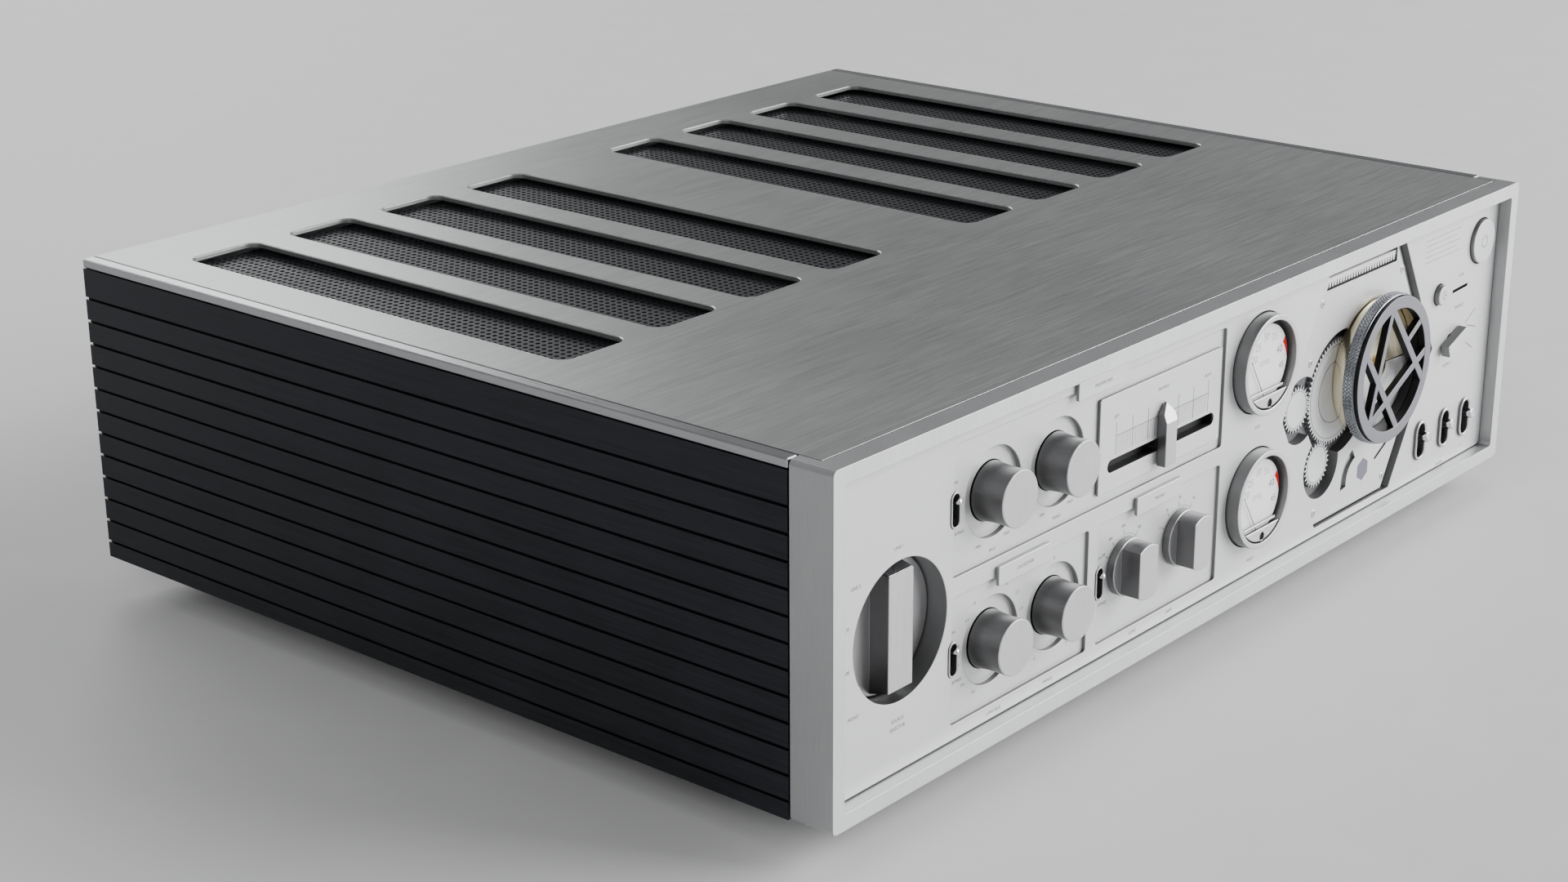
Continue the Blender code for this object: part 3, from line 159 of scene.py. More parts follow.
M = {
    "panel": material("panel_silver", (0.74, 0.745, 0.75), 0.46, 0.55, (60, 500, 2400), shade=0.03,
                      depth=0.03, edge=0.12, wall_shade=0.3, ledge_shade=0.25),
    "bezel": material("bezel_silver", (0.74, 0.75, 0.755), 0.4, 0.7, (3000, 3000, 60), shade=0.12,
                      spread=0.06, bump=0.25, edge=0.3, wall_shade=0.55),
    "cover": material("cover_grey", (0.42, 0.435, 0.43), 0.38, 0.85, (40, 1200, 1200), shade=0.22,
                      spread=0.06, bump=0.25, depth=0.04, edge=0.2, smudge=9.0),
    "rail": material("rail_bright", (0.40, 0.41, 0.42), 0.3, 1, (2500, 50, 2500), shade=0.08, bump=0.15,
                     depth=0.03, edge=0.3),
    "side": material("side_black", (0.022, 0.024, 0.029), 0.4, 0.75, (900, 30, 1200), shade=0.4,
                     spread=0.1, bump=0.3, depth=0.04, edge=0.2),
    "mesh": material("mesh_dark", (0.03, 0.032, 0.036), 0.5, 0.4, (700, 700, 700), shade=0.2, spread=0.08),
    "knob": material("knob_silver", (0.62, 0.62, 0.63), 0.36, 0.85, (2200, 60, 70), shade=0.1, spread=0.06,
                     bump=0.3, edge=0.15, wall_shade=0.25),
    "tab": material("tab_silver", (0.74, 0.745, 0.755), 0.45, 0.55, (60, 500, 2400), shade=0.03,
                    depth=0.03, edge=0.12, wall_shade=0.35),
    "gear_plate": material("gear_plate_silver", (0.74, 0.745, 0.755), 0.45, 0.55, (500, 500, 2000),
                           shade=0.03, depth=0.03, edge=0.12, wall_shade=0.35, ledge_shade=0.4),
    "gear": material("gear_steel", (0.80, 0.81, 0.82), 0.5, 0.3, (400, 400, 400), shade=0.03, spread=0.04,
                     bump=0.05, depth=0.02, edge=0.08, wall_shade=0.3),
    # Dark grey for engraved lines, also used as painted shade on the gear pockets' floors and in the screw
    # sockets.
    "line": material("engraved_line_and_shade", (0.22, 0.22, 0.23), 0.5, 0.6, (900, 900, 900), shade=0.1),
    "grip": material("grip_steel", (0.24, 0.25, 0.27), 0.22, 1, (900, 900, 900), shade=0.2, spread=0.08,
                     depth=0.03),
    "gunmetal": material("lattice_gunmetal", (0.25, 0.25, 0.275), 0.42, 0.6, (700, 700, 700), shade=0.05,
                         depth=0.03, edge=0.12, wall_shade=0.05),
    "collar": material("collar_brass", (0.90, 0.81, 0.58), 0.16, 1, (30, 1800, 30), shade=0.05, depth=0.02,
                       edge=0.2),
    "satin_gold": material("satin_gold", (0.60, 0.54, 0.41), 0.42, 0.75, (900, 900, 900), shade=0.08,
                           spread=0.06, depth=0.02, edge=0.1),
    "brass_line": material("brass_line", (0.28, 0.24, 0.16), 0.5, 0.6, (900, 900, 900), shade=0.1),
    "spindle": material("spindle_steel", (0.6, 0.6, 0.62), 0.25, 1, (900, 900, 900), shade=0.05, bump=0.05,
                        depth=0.02, edge=0.15),
    "lever": material("lever_chrome", (0.72, 0.72, 0.74), 0.15, 1, (500, 500, 500), shade=0.03,
                      spread=0.04, bump=0.04, depth=0.02),
    "rim": material("meter_rim_silver", (0.70, 0.705, 0.71), 0.36, 0.75, (40, 2200, 40), shade=0.07,
                    bump=0.15, depth=0.03, edge=0.12, wall_shade=0.27),
    "dial": material("dial_card", (0.93, 0.93, 0.92), 0.55, 0, (1500, 1500, 1500), shade=0.02, bump=0.06,
                     depth=0.02),
    "comb": material("comb_white", (0.95, 0.95, 0.94), 0.4, 0, (900, 900, 900), shade=0.03, bump=0.08,
                     depth=0.02, edge=0.05, wall_shade=0.3),
    "needle": material("needle_dark", (0.10, 0.10, 0.10), 0.4, 0.3, (900, 900, 900), shade=0.1),
    "ink": material("print_grey", (0.035, 0.035, 0.04), 0.6, 0, (2000, 2000, 2000), shade=0.15, spread=0.1,
                    bump=0.05),
    "pale_ink": material("print_pale", (0.42, 0.42, 0.43), 0.6, 0, (2000, 2000, 2000), shade=0.1,
                         spread=0.1, bump=0.05),
    "mid_ink": material("print_middle", (0.16, 0.16, 0.17), 0.6, 0, (2000, 2000, 2000), shade=0.1,
                        spread=0.1, bump=0.05),
    "red": material("print_red", (0.60, 0.0, 0.002), 0.6, 0, (1500, 1500, 1500), shade=0.08, spread=0.08,
                    bump=0.05, spec=0.1),
    # Flat black for painted shade in gaps, slots and hollows.
    "black": material("painted_shade_black", (0.006, 0.006, 0.007), 0.5, 0, (800, 800, 800), shade=0.2, spread=0.1),
    "hexagon": material("hexagon_violet", (0.20, 0.19, 0.245), 0.4, 0.6, (700, 700, 700), depth=0.02,
                        edge=0.1),
    "zinc": material("zinc_sheet", (0.42, 0.425, 0.43), 0.42, 1, (120, 120, 120), shade=0.12, spread=0.12,
                     bump=0.15, edge=0.2, smudge=90.0),
    "rubber": material("foot_rubber", (0.022, 0.022, 0.022), 0.75, 0, (1800, 1800, 1800), shade=0.25,
                       spread=0.1, bump=0.5),
    "plastic": material("black_plastic", (0.02, 0.02, 0.021), 0.42, 0, (2500, 2500, 2500), shade=0.2,
                        spread=0.08, bump=0.35, depth=0.03, edge=0.1),
    "red_plastic": material("red_plastic", (0.42, 0.015, 0.015), 0.35, 0, (2000, 2000, 2000), shade=0.1,
                            bump=0.2, depth=0.02),
    "gold": material("gold_plate", (0.86, 0.64, 0.27), 0.18, 1, (900, 900, 900), shade=0.05, bump=0.06,
                     depth=0.02, edge=0.1),
    "board": material("board_green", (0.02, 0.11, 0.05), 0.4, 0, (250, 250, 250), shade=0.3, spread=0.1,
                      bump=0.2, coat=0.3),
    "sink": material("sink_black", (0.018, 0.018, 0.02), 0.5, 0.4, (60, 900, 900), shade=0.25, spread=0.1,
                     bump=0.2, depth=0.04, edge=0.2),
    "sleeve": material("capacitor_sleeve", (0.02, 0.04, 0.14), 0.25, 0, (200, 200, 200), shade=0.1,
                       coat=0.4),
    "winding": material("winding_tape", (0.45, 0.34, 0.05), 0.3, 0, (900, 900, 60), shade=0.2, spread=0.1,
                        bump=0.5, depth=0.2),
}


# ---------------------------------------------------------------- geometry
def show(name, data):
    thing = bpy.data.objects.new(name, data)
    bpy.context.scene.collection.objects.link(thing)
    return thing


def evaluated(thing):
    """The thing's mesh, with its modifiers or its curve's bevel."""
    bpy.context.view_layer.update()
    graph = bpy.context.evaluated_depsgraph_get()
    return bpy.data.meshes.new_from_object(thing.evaluated_get(graph))


def as_mesh(shape):
    mesh = bpy.data.meshes.new("mesh")
    shape.to_mesh(mesh)
    shape.free()
    return mesh


def put(name, mesh, finish, body="chassis", stands_for=(), smooth=14.0):
    """Make the piece, give it its finish and fix it to its CAD body."""
    mesh.name = name
    mesh.materials.clear()
    mesh.materials.append(M[finish])
    mesh.shade_smooth()
    mesh.set_sharp_from_angle(angle=radians(smooth))
    piece = show(name, mesh)
    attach(piece, body)
    if stands_for:
        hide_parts(*([stands_for] if isinstance(stands_for, str) else stands_for))
    return piece


def from_shape(shape):
    bmesh.ops.recalc_face_normals(shape, faces=shape.faces)
    return as_mesh(shape)


def joined(*meshes):
    shape = bmesh.new()
    for mesh in meshes:
        shape.from_mesh(mesh)
        bpy.data.meshes.remove(mesh)
    return as_mesh(shape)


def turned_at(centre, axis):
    """Local x, y and z of a turned or flat shape, as a matrix into the world."""
    if axis == "y":
        return Matrix.Translation(at(centre[0], 0, centre[1])) @ Matrix.Rotation(radians(90), 4, "X")
    if axis == "z":
        return Matrix.Translation(at(centre[0], centre[1], 0))
    return Matrix.Translation(at(0, centre[0], centre[1])) @ Matrix(
        ((0, 0, 1, 0), (1, 0, 0, 0), (0, 1, 0, 0), (0, 0, 0, 1)))


def lathe(centre, profile, axis="y", steps=72, place=None):
    """A solid turned from (radius, height) points, the front or the top first."""
    flip = -1 if axis == "y" and place is None else 1
    shape = bmesh.new()
    rings = []
    for radius, height in profile:
        count = steps if radius > 0 else 1
        rings.append([shape.verts.new((radius * MM * cos(2 * pi * i / steps),
                                       radius * MM * sin(2 * pi * i / steps), flip * height * MM))
                      for i in range(count)])
    pairs = list(zip(rings, rings[1:]))
    if profile[0][0] > 0:
        pairs.append((rings[-1], rings[0]))
    for one, two in pairs:
        for i in range(steps):
            corners = [one[i % len(one)], one[(i + 1) % len(one)], two[(i + 1) % len(two)],
                       two[i % len(two)]]
            shape.faces.new(list(dict.fromkeys(corners)))
    bmesh.ops.transform(shape, matrix=place or turned_at(centre, axis), verts=shape.verts)
    return from_shape(shape)


def area(points):
    return sum(a[0] * b[1] - b[0] * a[1] for a, b in zip(points, points[1:] + points[:1])) / 2


def slab(outlines, span, edge=0.0, axis="y", rounds=1):
    """Flat outlines, filled where they don't hold a hole, with chamfered or rounded edges."""
    curve = bpy.data.curves.new("slab", "CURVE")
    curve.dimensions = "2D"
    curve.fill_mode = "BOTH"
    curve.extrude = abs(span[1] - span[0]) * MM / 2 - edge * MM
    curve.bevel_depth = edge * MM
    curve.bevel_resolution = rounds - 1
    curve.offset = -edge * MM
    for number, points in enumerate(outlines):
        hole = number > 0 and edge > 0
        if (area(points) > 0) == hole:
            points = points[::-1]
        spline = curve.splines.new("POLY")
        spline.points.add(len(points) - 1)
        for point, (u, v) in zip(spline.points, points):
            point.co = (u * MM, v * MM, 0, 1)
        spline.use_cyclic_u = True
    guide = show("slab", curve)
    mesh = evaluated(guide)
    bpy.data.objects.remove(guide)
    bpy.data.curves.remove(curve)
    middle = (span[0] + span[1]) / 2
    place = {"y": Matrix.Translation(at(0, middle, 0)) @ Matrix.Rotation(radians(90), 4, "X"),
             "z": Matrix.Translation(at(0, 0, middle)),
             "x": turned_at((0, 0), "x") @ Matrix.Translation((0, 0, middle * MM))}[axis]
    shape = bmesh.new()
    shape.from_mesh(mesh)
    bmesh.ops.remove_doubles(shape, verts=shape.verts, dist=1e-7)
    bmesh.ops.transform(shape, matrix=place, verts=shape.verts)
    bpy.data.meshes.remove(mesh)
    return from_shape(shape)


def arc(centre, radius, start, end, steps):
    return [polar(centre, radius, start + (end - start) * i / steps) for i in range(steps + 1)]


def circle(centre, radius, steps=72):
    return [polar(centre, radius, 2 * pi * i / steps) for i in range(steps)]


def box(left, right, low, high, radius=0.0, steps=4):
    if not radius:
        return [(left, low), (right, low), (right, high), (left, high)]
    points = []
    for x, z, turn in ((right - radius, high - radius, 0), (left + radius, high - radius, 1),
                       (left + radius, low + radius, 2), (right - radius, low + radius, 3)):
        points += arc((x, z), radius, turn * pi / 2, (turn + 1) * pi / 2, steps)
    return points


def stadium(centre, width, height, steps=16):
    rise = (height - width) / 2
    return (arc((centre[0], centre[1] + rise), width / 2, 0, pi, steps)
            + arc((centre[0], centre[1] - rise), width / 2, pi, 2 * pi, steps))


def turn(points, centre, degrees):
    c, s = cos(radians(degrees)), sin(radians(degrees))
    return [(centre[0] + (x - centre[0]) * c - (z - centre[1]) * s,
             centre[1] + (x - centre[0]) * s + (z - centre[1]) * c) for x, z in points]


def bar(start, end, width):
    """The outline of a straight line with a width."""
    length = hypot(end[0] - start[0], end[1] - start[1])
    nx = -(end[1] - start[1]) / length * width / 2
    nz = (end[0] - start[0]) / length * width / 2
    return [(start[0] - nx, start[1] - nz), (end[0] - nx, end[1] - nz),
            (end[0] + nx, end[1] + nz), (start[0] + nx, start[1] + nz)]


def ribbon(centre, radius, start, end, width, steps=24):
    """The outline of a line that follows an arc, its angles in degrees."""
    a, b = radians(start), radians(end)
    return arc(centre, radius - width / 2, a, b, steps) + arc(centre, radius + width / 2, b, a, steps)


def separate(outlines, face, height=0.02, axis="y"):
    """Thin closed prints that stand a hair proud of a face."""
    return joined(*[slab([points], (face - height, face - 0.002), axis=axis) for points in outlines])


def words(entries, face, size=1.65, axis="y", away=False):
    """Small printed words and numbers, each (text, x, z) or (text, x, z, size)."""
    made = []
    for entry in entries:
        text = bpy.data.curves.new("words", "FONT")
        text.body = entry[0]
        text.size = (entry[3] if len(entry) > 3 else size) * MM
        text.align_x = "CENTER"
        text.align_y = "CENTER"
        text.extrude = 0.01 * MM
        text.resolution_u = 3
        guide = show("words", text)
        mesh = evaluated(guide)
        bpy.data.objects.remove(guide)
        bpy.data.curves.remove(text)
        about = Matrix.Rotation(pi, 4, "Z") if away else Matrix.Identity(4)
        offset = 0.012 if away else -0.012
        mesh.transform(Matrix.Translation(at(entry[1], face + offset, entry[2])) @ about
                       @ Matrix.Rotation(radians(90), 4, "X"))
        made.append(mesh)
    return joined(*made)


# ---------------------------------------------------------------- CAD pieces that keep their shape
FINISH = {
    "bezel": ("front_frame",),
    "side": ("side_panel_left", "side_panel_right"),
    "rail": ("side_rail_left", "side_rail_right"),
    "zinc": ("base_pan", "rear_panel"),
    "gear": ("main_gear", "left_gear", "lower_gear"),
    "comb": ("scale_comb",),
    "spindle": ("volume_spindle",),
    "board": ("main_board", "control_board"),
    "winding": ("transformer",),
    "sleeve": ("capacitor_left", "capacitor_right"),
    "sink": ("heat_sink_left", "heat_sink_right"),
    "plastic": ("mains_inlet",),
}
for finish, names in FINISH.items():
    for name in names:
        NODES[name].data.materials.clear()
        NODES[name].data.materials.append(M[finish])


# ---------------------------------------------------------------- cabinet
def make_cover():
    """The slotted cover, and black strips as painted shade in its gaps to the rails and the bezel."""
    outlines = [box(-210, 210, 8.3, 348)]
    outlines += [box(x - VENT_HALF, x + VENT_HALF, VENT_FRONT, VENT_BACK, 5, 10) for x in VENTS]
    put("cover", slab(outlines, (112.9, TOP), 0.35, "z"), "cover", stands_for="top_cover")
    gaps = [box(-210.45, -209.75, 9, BACK), box(209.75, 210.45, 9, BACK), box(-209.8, 209.8, 7.9, 8.5)]
    # Painted shade: black strips just under the top face, inside the gaps.
    gap_shade_strips = [slab([gap], (TOP - 0.7, TOP - 0.1), 0, "z") for gap in gaps]
    put("cover_gap_shade", joined(*gap_shade_strips), "black")


def make_mesh():
    """Perforated sheet: one cell with a round hole, repeated under each slot."""
    pitch = 2.87
    hole = 0.98
    across = 14
    along = 67
    shape = bmesh.new()
    rim = []
    ring = []
    for i in range(8):
        angle = i * pi / 4
        reach = pitch / 2 / max(abs(cos(angle)), abs(sin(angle)))
        rim.append(shape.verts.new((reach * cos(angle) * MM, reach * sin(angle) * MM, 0)))
        ring.append(shape.verts.new((hole * cos(angle) * MM, hole * sin(angle) * MM, 0)))
    for i in range(8):
        j = (i + 1) % 8
        shape.faces.new((rim[i], rim[j], ring[j], ring[i]))
    cell = as_mesh(shape)
    for x in VENTS:
        number = sorted(VENTS).index(x)
        sheet = show(f"mesh_strip_{number}", cell.copy())
        sheet.data.materials.append(M["mesh"])
        sheet.location = at(x - pitch * (across - 1) / 2, VENT_FRONT - pitch + 2.2, MESH_TOP)
        for axis, count in ((0, across), (1, along)):
            repeat = sheet.modifiers.new("repeat", "ARRAY")
            repeat.count = count
            repeat.use_relative_offset = False
            repeat.use_constant_offset = True
            repeat.constant_offset_displace = [pitch * MM if i == axis else 0 for i in range(3)]
            repeat.use_merge_vertices = True
            repeat.merge_threshold = 0.00001
        thick = sheet.modifiers.new("thick", "SOLIDIFY")
        thick.thickness = 0.8 * MM
        thick.offset = -1
        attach(sheet, "chassis")
        if x == VENTS[0]:
            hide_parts("vent_mesh")


# ---------------------------------------------------------------- front panel
# A section is (left, right, low, high); a tab has its name before that and its word after.
# The rest are centres, (x, z).
SECTIONS = ((-151, 4.5, 60.7, 104), (-151, -76.5, 11, 54), (-70.5, 4.5, 11, 54))
TABS = (("tab_preamp", -87.3, -59.3, 101.4, 107.4, "PREAMPLIFIER"),
        ("tab_crossover", -128.7, -100.2, 51.4, 57.8, "CROSSOVER"),
        ("tab_phono", -50.2, -22.4, 51.4, 57.8, "PHONO"))
SELECTOR = (-176.7, 52.2)
ROUND_KNOBS = {"bass_knob": (-128.9, 82.6), "treble_knob": (-94.2, 82.6),
               "crossover_knob_low": (-129.0, 32.8), "crossover_knob_high": (-94.3, 32.8)}
BAR_KNOBS = {"phono_knob_left": (-53.3, 34.3), "phono_knob_right": (-19.2, 34.3)}
PINS = {"toggle_preamp": (-150.3, 83.0), "toggle_crossover": (-150.3, 33.5), "toggle_phono": (-69.5, 33.0)}
BATS = {"speaker_toggle_1": (155.2, 21.8), "speaker_toggle_2": (175.2, 21.8),
        "speaker_toggle_3": (192.3, 21.8)}
METERS = {"meter_left": (28.4, 85.4), "meter_right": (28.4, 35.1)}
POWER = (195.5, 94.2)
BUTTON = (162.9, 79.4)
LEVER = (174.9, 58.0)
HEXAGON = (103.6, 58.2)
MAIN = (90.3, 58.2)
LEFT = (62.09, 58.2)
LOWER = (79.778, 32.026)
VOLUME = (112.67, 63.282)


def notch(edge, centre, width, height, inward):
    """The part of a slot's outline on one side of an upright edge, from its top to its bottom."""
    radius = width / 2
    lean = acos((edge - centre[0]) / radius)
    upper = (centre[0], centre[1] + height / 2 - radius)
    lower = (centre[0], centre[1] - height / 2 + radius)
    if inward:
        return arc(upper, radius, lean, 0, 8) + arc(lower, radius, 0, -lean, 8)
    return arc(upper, radius, lean, pi, 6) + arc(lower, radius, pi, 2 * pi - lean, 6)


def section_outline(section, grow=0.0, inward=False):
    """A section's outline, going round the slot of the switch on its left edge."""
    left, right, low, high = section
    centre = next(c for c in PINS.values() if abs(c[0] - left) < 3 and low < c[1] < high)
    corners = box(left - grow, right + grow, low - grow, high + grow, 1.2, 5)
    size = (3.4, 10.7) if inward else (4.8, 12.1)
    return corners[:12] + notch(left - grow, centre, *size, inward) + corners[12:]


def make_panel():
    """The face, its sunken sections, the rings round the knobs and the slots of the switches."""
    holes = [section_outline(s) for s in SECTIONS] + [circle(SELECTOR, 23, 120)]
    holes += [stadium(c, 5.9, 13.8) for c in BATS.values()]
    holes += [circle(c, 18.55, 96) for c in METERS.values()]
    holes += [circle(HEXAGON, 57, 6), circle(POWER, 9.25), circle(BUTTON, 4.35), circle(LEVER, 2.6, 32)]
    holes.append(turn(box(174.5, 187, 77.4, 78.6, 0.55), (180.75, 78), 2))
    sheets = [slab([box(-209.3, 209.3, 5.8, 109.2, 1.3)] + holes, (FACE, 9), 0.22, rounds=2)]
    knobs = list(ROUND_KNOBS.values())
    for number, (left, right, low, high) in enumerate(SECTIONS):
        inside = [circle(c, 14.9, 96) for c in knobs if left < c[0] < right and low < c[1] < high]
        outline = section_outline((left, right, low, high), 0.5, True)
        if number == 0:
            inside.append(box(-68, -0.6, 69.8, 76.2, 1))
        sheets.append(slab([outline] + inside, (FLOOR, 8.6), 0.15))
    for centre in knobs:
        sheets.append(lathe(centre, [(9.95, 8.2), (10.05, 8.1), (15.6, 8.1), (15.6, 8.6), (9.95, 8.6)],
                            steps=96))
    sheets.append(lathe(SELECTOR, [(23.02, 7), (25.5, 8.9), (25.5, 15.2), (23.02, 15.2)], steps=120))
    put("panel", joined(*sheets), "panel", stands_for="front_panel")
    rims = [slab([stadium(c, 4.8, 12.1), stadium(c, 3.4, 10.7)], (4.6, 8), 0.2, rounds=2)
            for c in PINS.values()]
    rims += [slab([stadium(c, 8.5, 16.4), stadium(c, 5.9, 13.8)], (3.8, 8), 0.55, rounds=3)
             for c in BATS.values()]
    put("switch_rims", joined(*rims), "knob")
    # Painted shade: black sheets behind the switches' slots, the slider's slot and the slit, and black
    # walls round the slider's slot.
    slot_shades = [slab([stadium(c, 3.4, 10.7)], (8.7, 9)) for c in PINS.values()]
    slot_shades += [slab([stadium(c, 5.9, 13.8)], (8.7, 9)) for c in BATS.values()]
    slot_shades += [slab([box(-69, 0.4, 69, 77)], (8.8, 9.2)), slab([box(173, 188, 76, 80)], (9.1, 9.3))]
    slot_shades.append(slab([box(-67.9, -0.7, 69.9, 76.1), box(-67, -1.6, 70.8, 75.2, 2.15, 10)], (5.92, 8.7)))
    put("switch_slot_shade", joined(*slot_shades), "black")


def make_tabs():
    for name, left, right, low, high, word in TABS:
        put(name + "_plate", slab([box(left, right, low, high, 0.5)], (3.5, 4.7), 0.2, rounds=2), "tab",
            stands_for=name)
        put(name + "_print", words([(word, (left + right) / 2, (low + high) / 2)], 3.5), "ink")


def make_slider():
    """The balance slider's plate, its cap with a sloping point, and its printed scale."""
    plate = slab([box(-72.2, 2.2, 64.3, 97.7, 0.8), box(-67, -1.6, 70.8, 75.2, 2.15, 10)], (5, 5.9), 0.2,
                 rounds=2)
    put("slider_face", plate, "panel", stands_for="slider_plate")
    x = -34.6
    outline = [(x - 3.3, 65.8), (x + 3.3, 65.8), (x + 3.3, 84), (x, 87.6), (x - 3.3, 84)]
    cap = slab([outline], (1.1, 4.7), 0.25, rounds=2)
    shape = bmesh.new()
    shape.from_mesh(cap)
    found = bmesh.ops.bisect_plane(shape, geom=shape.verts[:] + shape.edges[:] + shape.faces[:],
                                   plane_co=at(x, 1.1, 81.2), plane_no=(0, -7.3, 2.8), clear_outer=True)
    bmesh.ops.contextual_create(shape, geom=[g for g in found["geom_cut"]
                                             if isinstance(g, bmesh.types.BMEdge)])
    bpy.data.meshes.remove(cap)
    stem = slab([box(x - 1.5, x + 1.5, 71.4, 74.6)], (4, 13.9))
    put("slider_cap", joined(from_shape(shape), stem), "knob", "balance_slider", "balance_slider")
    marks = [box(-62.7, -6, 82.95, 83.15)]
    marks += [box(u - 0.12, u + 0.12, 76.4, 87.7) for u in (-62.6, -52.8, -43.4, -34, -24.9, -15.4, -6)]
    marks += [box(-61.6 + 0.97 * i - 0.05, -61.6 + 0.97 * i + 0.05, 76.5, 82.9) for i in range(57)]
    put("slider_scale", separate(marks, 5), "ink")
    labels = [("LEFT", -62.6, 89.7), ("RIGHT", -6.5, 89.7), ("BALANCE", -34.6, 92.5)]
    put("slider_words", words(labels, 5, 1.5), "ink")


# ---------------------------------------------------------------- knobs and switches
def make_knobs():
    """Round knobs, bar knobs on discs, and the large selector in its well."""
    for name, centre in ROUND_KNOBS.items():
        profile = [(0, FRONT), (9.0, FRONT), (9.25, -3.92), (9.4, -3.7), (9.27, -1.5), (9.2, 0), (9.2, 2),
                   (9.32, 4), (9.6, 6.5), (9.75, 7.6), (9.65, 7.8), (3, 7.8), (3, SHAFT_END),
                   (0, SHAFT_END)]
        put(name + "_turned", lathe(centre, profile, steps=128), "knob", name, name)
    for name, centre in BAR_KNOBS.items():
        disc = lathe(centre, [(0, 3.3), (9.9, 3.3), (10.1, 3.38), (10.2, 3.6), (10.2, 5.9), (3, 5.9),
                              (3, SHAFT_END), (0, SHAFT_END)], steps=128)
        lean = acos(5.5 / 9.75)
        outline = arc(centre, 9.75, lean, pi - lean, 12) + arc(centre, 9.75, pi + lean, 2 * pi - lean, 12)
        grip = slab([outline], (FRONT, 4), 0.3, rounds=2)
        put(name + "_turned", joined(disc, grip), "knob", name, name)
    disc = lathe(SELECTOR, [(0, 12.3), (22.3, 12.3), (22.6, 12.45), (22.7, 12.8), (22.7, 14.3), (3, 14.3),
                            (3, SHAFT_END), (0, SHAFT_END)], steps=144)
    side = [(5, 33.2), (5, 71.2), (13, 73.35), (13, 31.05)]
    grip = slab([side], (-182.7, -170.7), 0.3, "x", 2)
    put("selector_turned", joined(disc, grip), "knob", "source_selector", "source_selector")
    crown = [(5.3, 71.2), (12.8, 73.2), (12.8, 73.43), (5.3, 71.43)]
    put("selector_crown", slab([crown], (-182.3, -171.1), 0, "x"), "spindle", "source_selector")


def lever_place(centre, tilt):
    """A switch lever's own axis, tilted up about its pivot behind the panel."""
    return (Matrix.Translation(at(centre[0], TOGGLE_PIVOT, centre[1]))
            @ Matrix.Rotation(-radians(tilt), 4, "X") @ Matrix.Rotation(radians(90), 4, "X"))


def make_switches():
    """Pin and bat levers, the two push buttons and the arrow-shaped lever."""
    for name, centre in PINS.items():
        profile = [(0, 8.9), (0.6, 8.85), (0.85, 8.7), (0.98, 8.45), (1, 8.2), (1, 6.5), (0.9, 6.2),
                   (0.62, 6)]
        profile += [(0.58, 2.4), (1.2, 0.9), (1.5, 0), (1.2, -0.9), (0, -1.5)]
        put(name + "_lever", lathe(None, profile, steps=32, place=lever_place(centre, 22.5)), "lever",
            name, name, 40)
    for name, centre in BATS.items():
        profile = [(0, 10.7), (1.55, 10.7), (1.8, 10.6), (1.93, 10.35), (1.95, 10.0), (1.95, 8.9),
                   (1.88, 8.6), (1.68, 8.2), (1.62, 7.8), (1.36, 2.4), (1.76, 1.32), (2.2, 0),
                   (1.76, -1.32), (0, -2.2)]
        put(name + "_lever", lathe(None, profile, steps=48, place=lever_place(centre, 12)), "lever", name,
            name, 24)
    for name, centre, radius, face in (("power_button", POWER, 8.9, 3.35),
                                       ("small_button", BUTTON, 4.0, 2.8)):
        profile = [(0, face), (radius - 0.5, face), (radius - 0.15, face + 0.12), (radius, face + 0.45),
                   (radius, 10.6), (radius + 0.9, 10.6), (radius + 0.9, 11.8), (0, 11.8)]
        put(name + "_turned", lathe(centre, profile, steps=96), "panel", name, name)
    x, z = POWER
    symbol = [ribbon(POWER, 2.4, 125, 415, 0.4, 40), box(x - 0.2, x + 0.2, z + 0.6, z + 3)]
    put("power_symbol", separate(symbol, 3.35), "line", "power_button")
    mark = [ribbon((163.4, 79.4), 1.5, 60, 300, 0.35, 24), circle((164.1, 79.4), 0.55, 24)]
    put("small_button_mark", separate(mark, 2.8), "line", "small_button")
    x, z = LEVER
    arrow = [(x - 7.6, z - 2.45), (x + 7.4, z - 2.45), (x + 10.6, z), (x + 7.4, z + 2.45),
             (x - 7.6, z + 2.45)]
    outline = turn(arrow, LEVER, 19.5)
    shaft = lathe(LEVER, [(0, 4), (2.2, 4), (2.2, 20), (0, 20)], steps=32)
    put("lever_arrow", joined(slab([outline], (1, 4.7), 0.25, rounds=2), shaft), "panel", "output_lever",
        "output_lever")


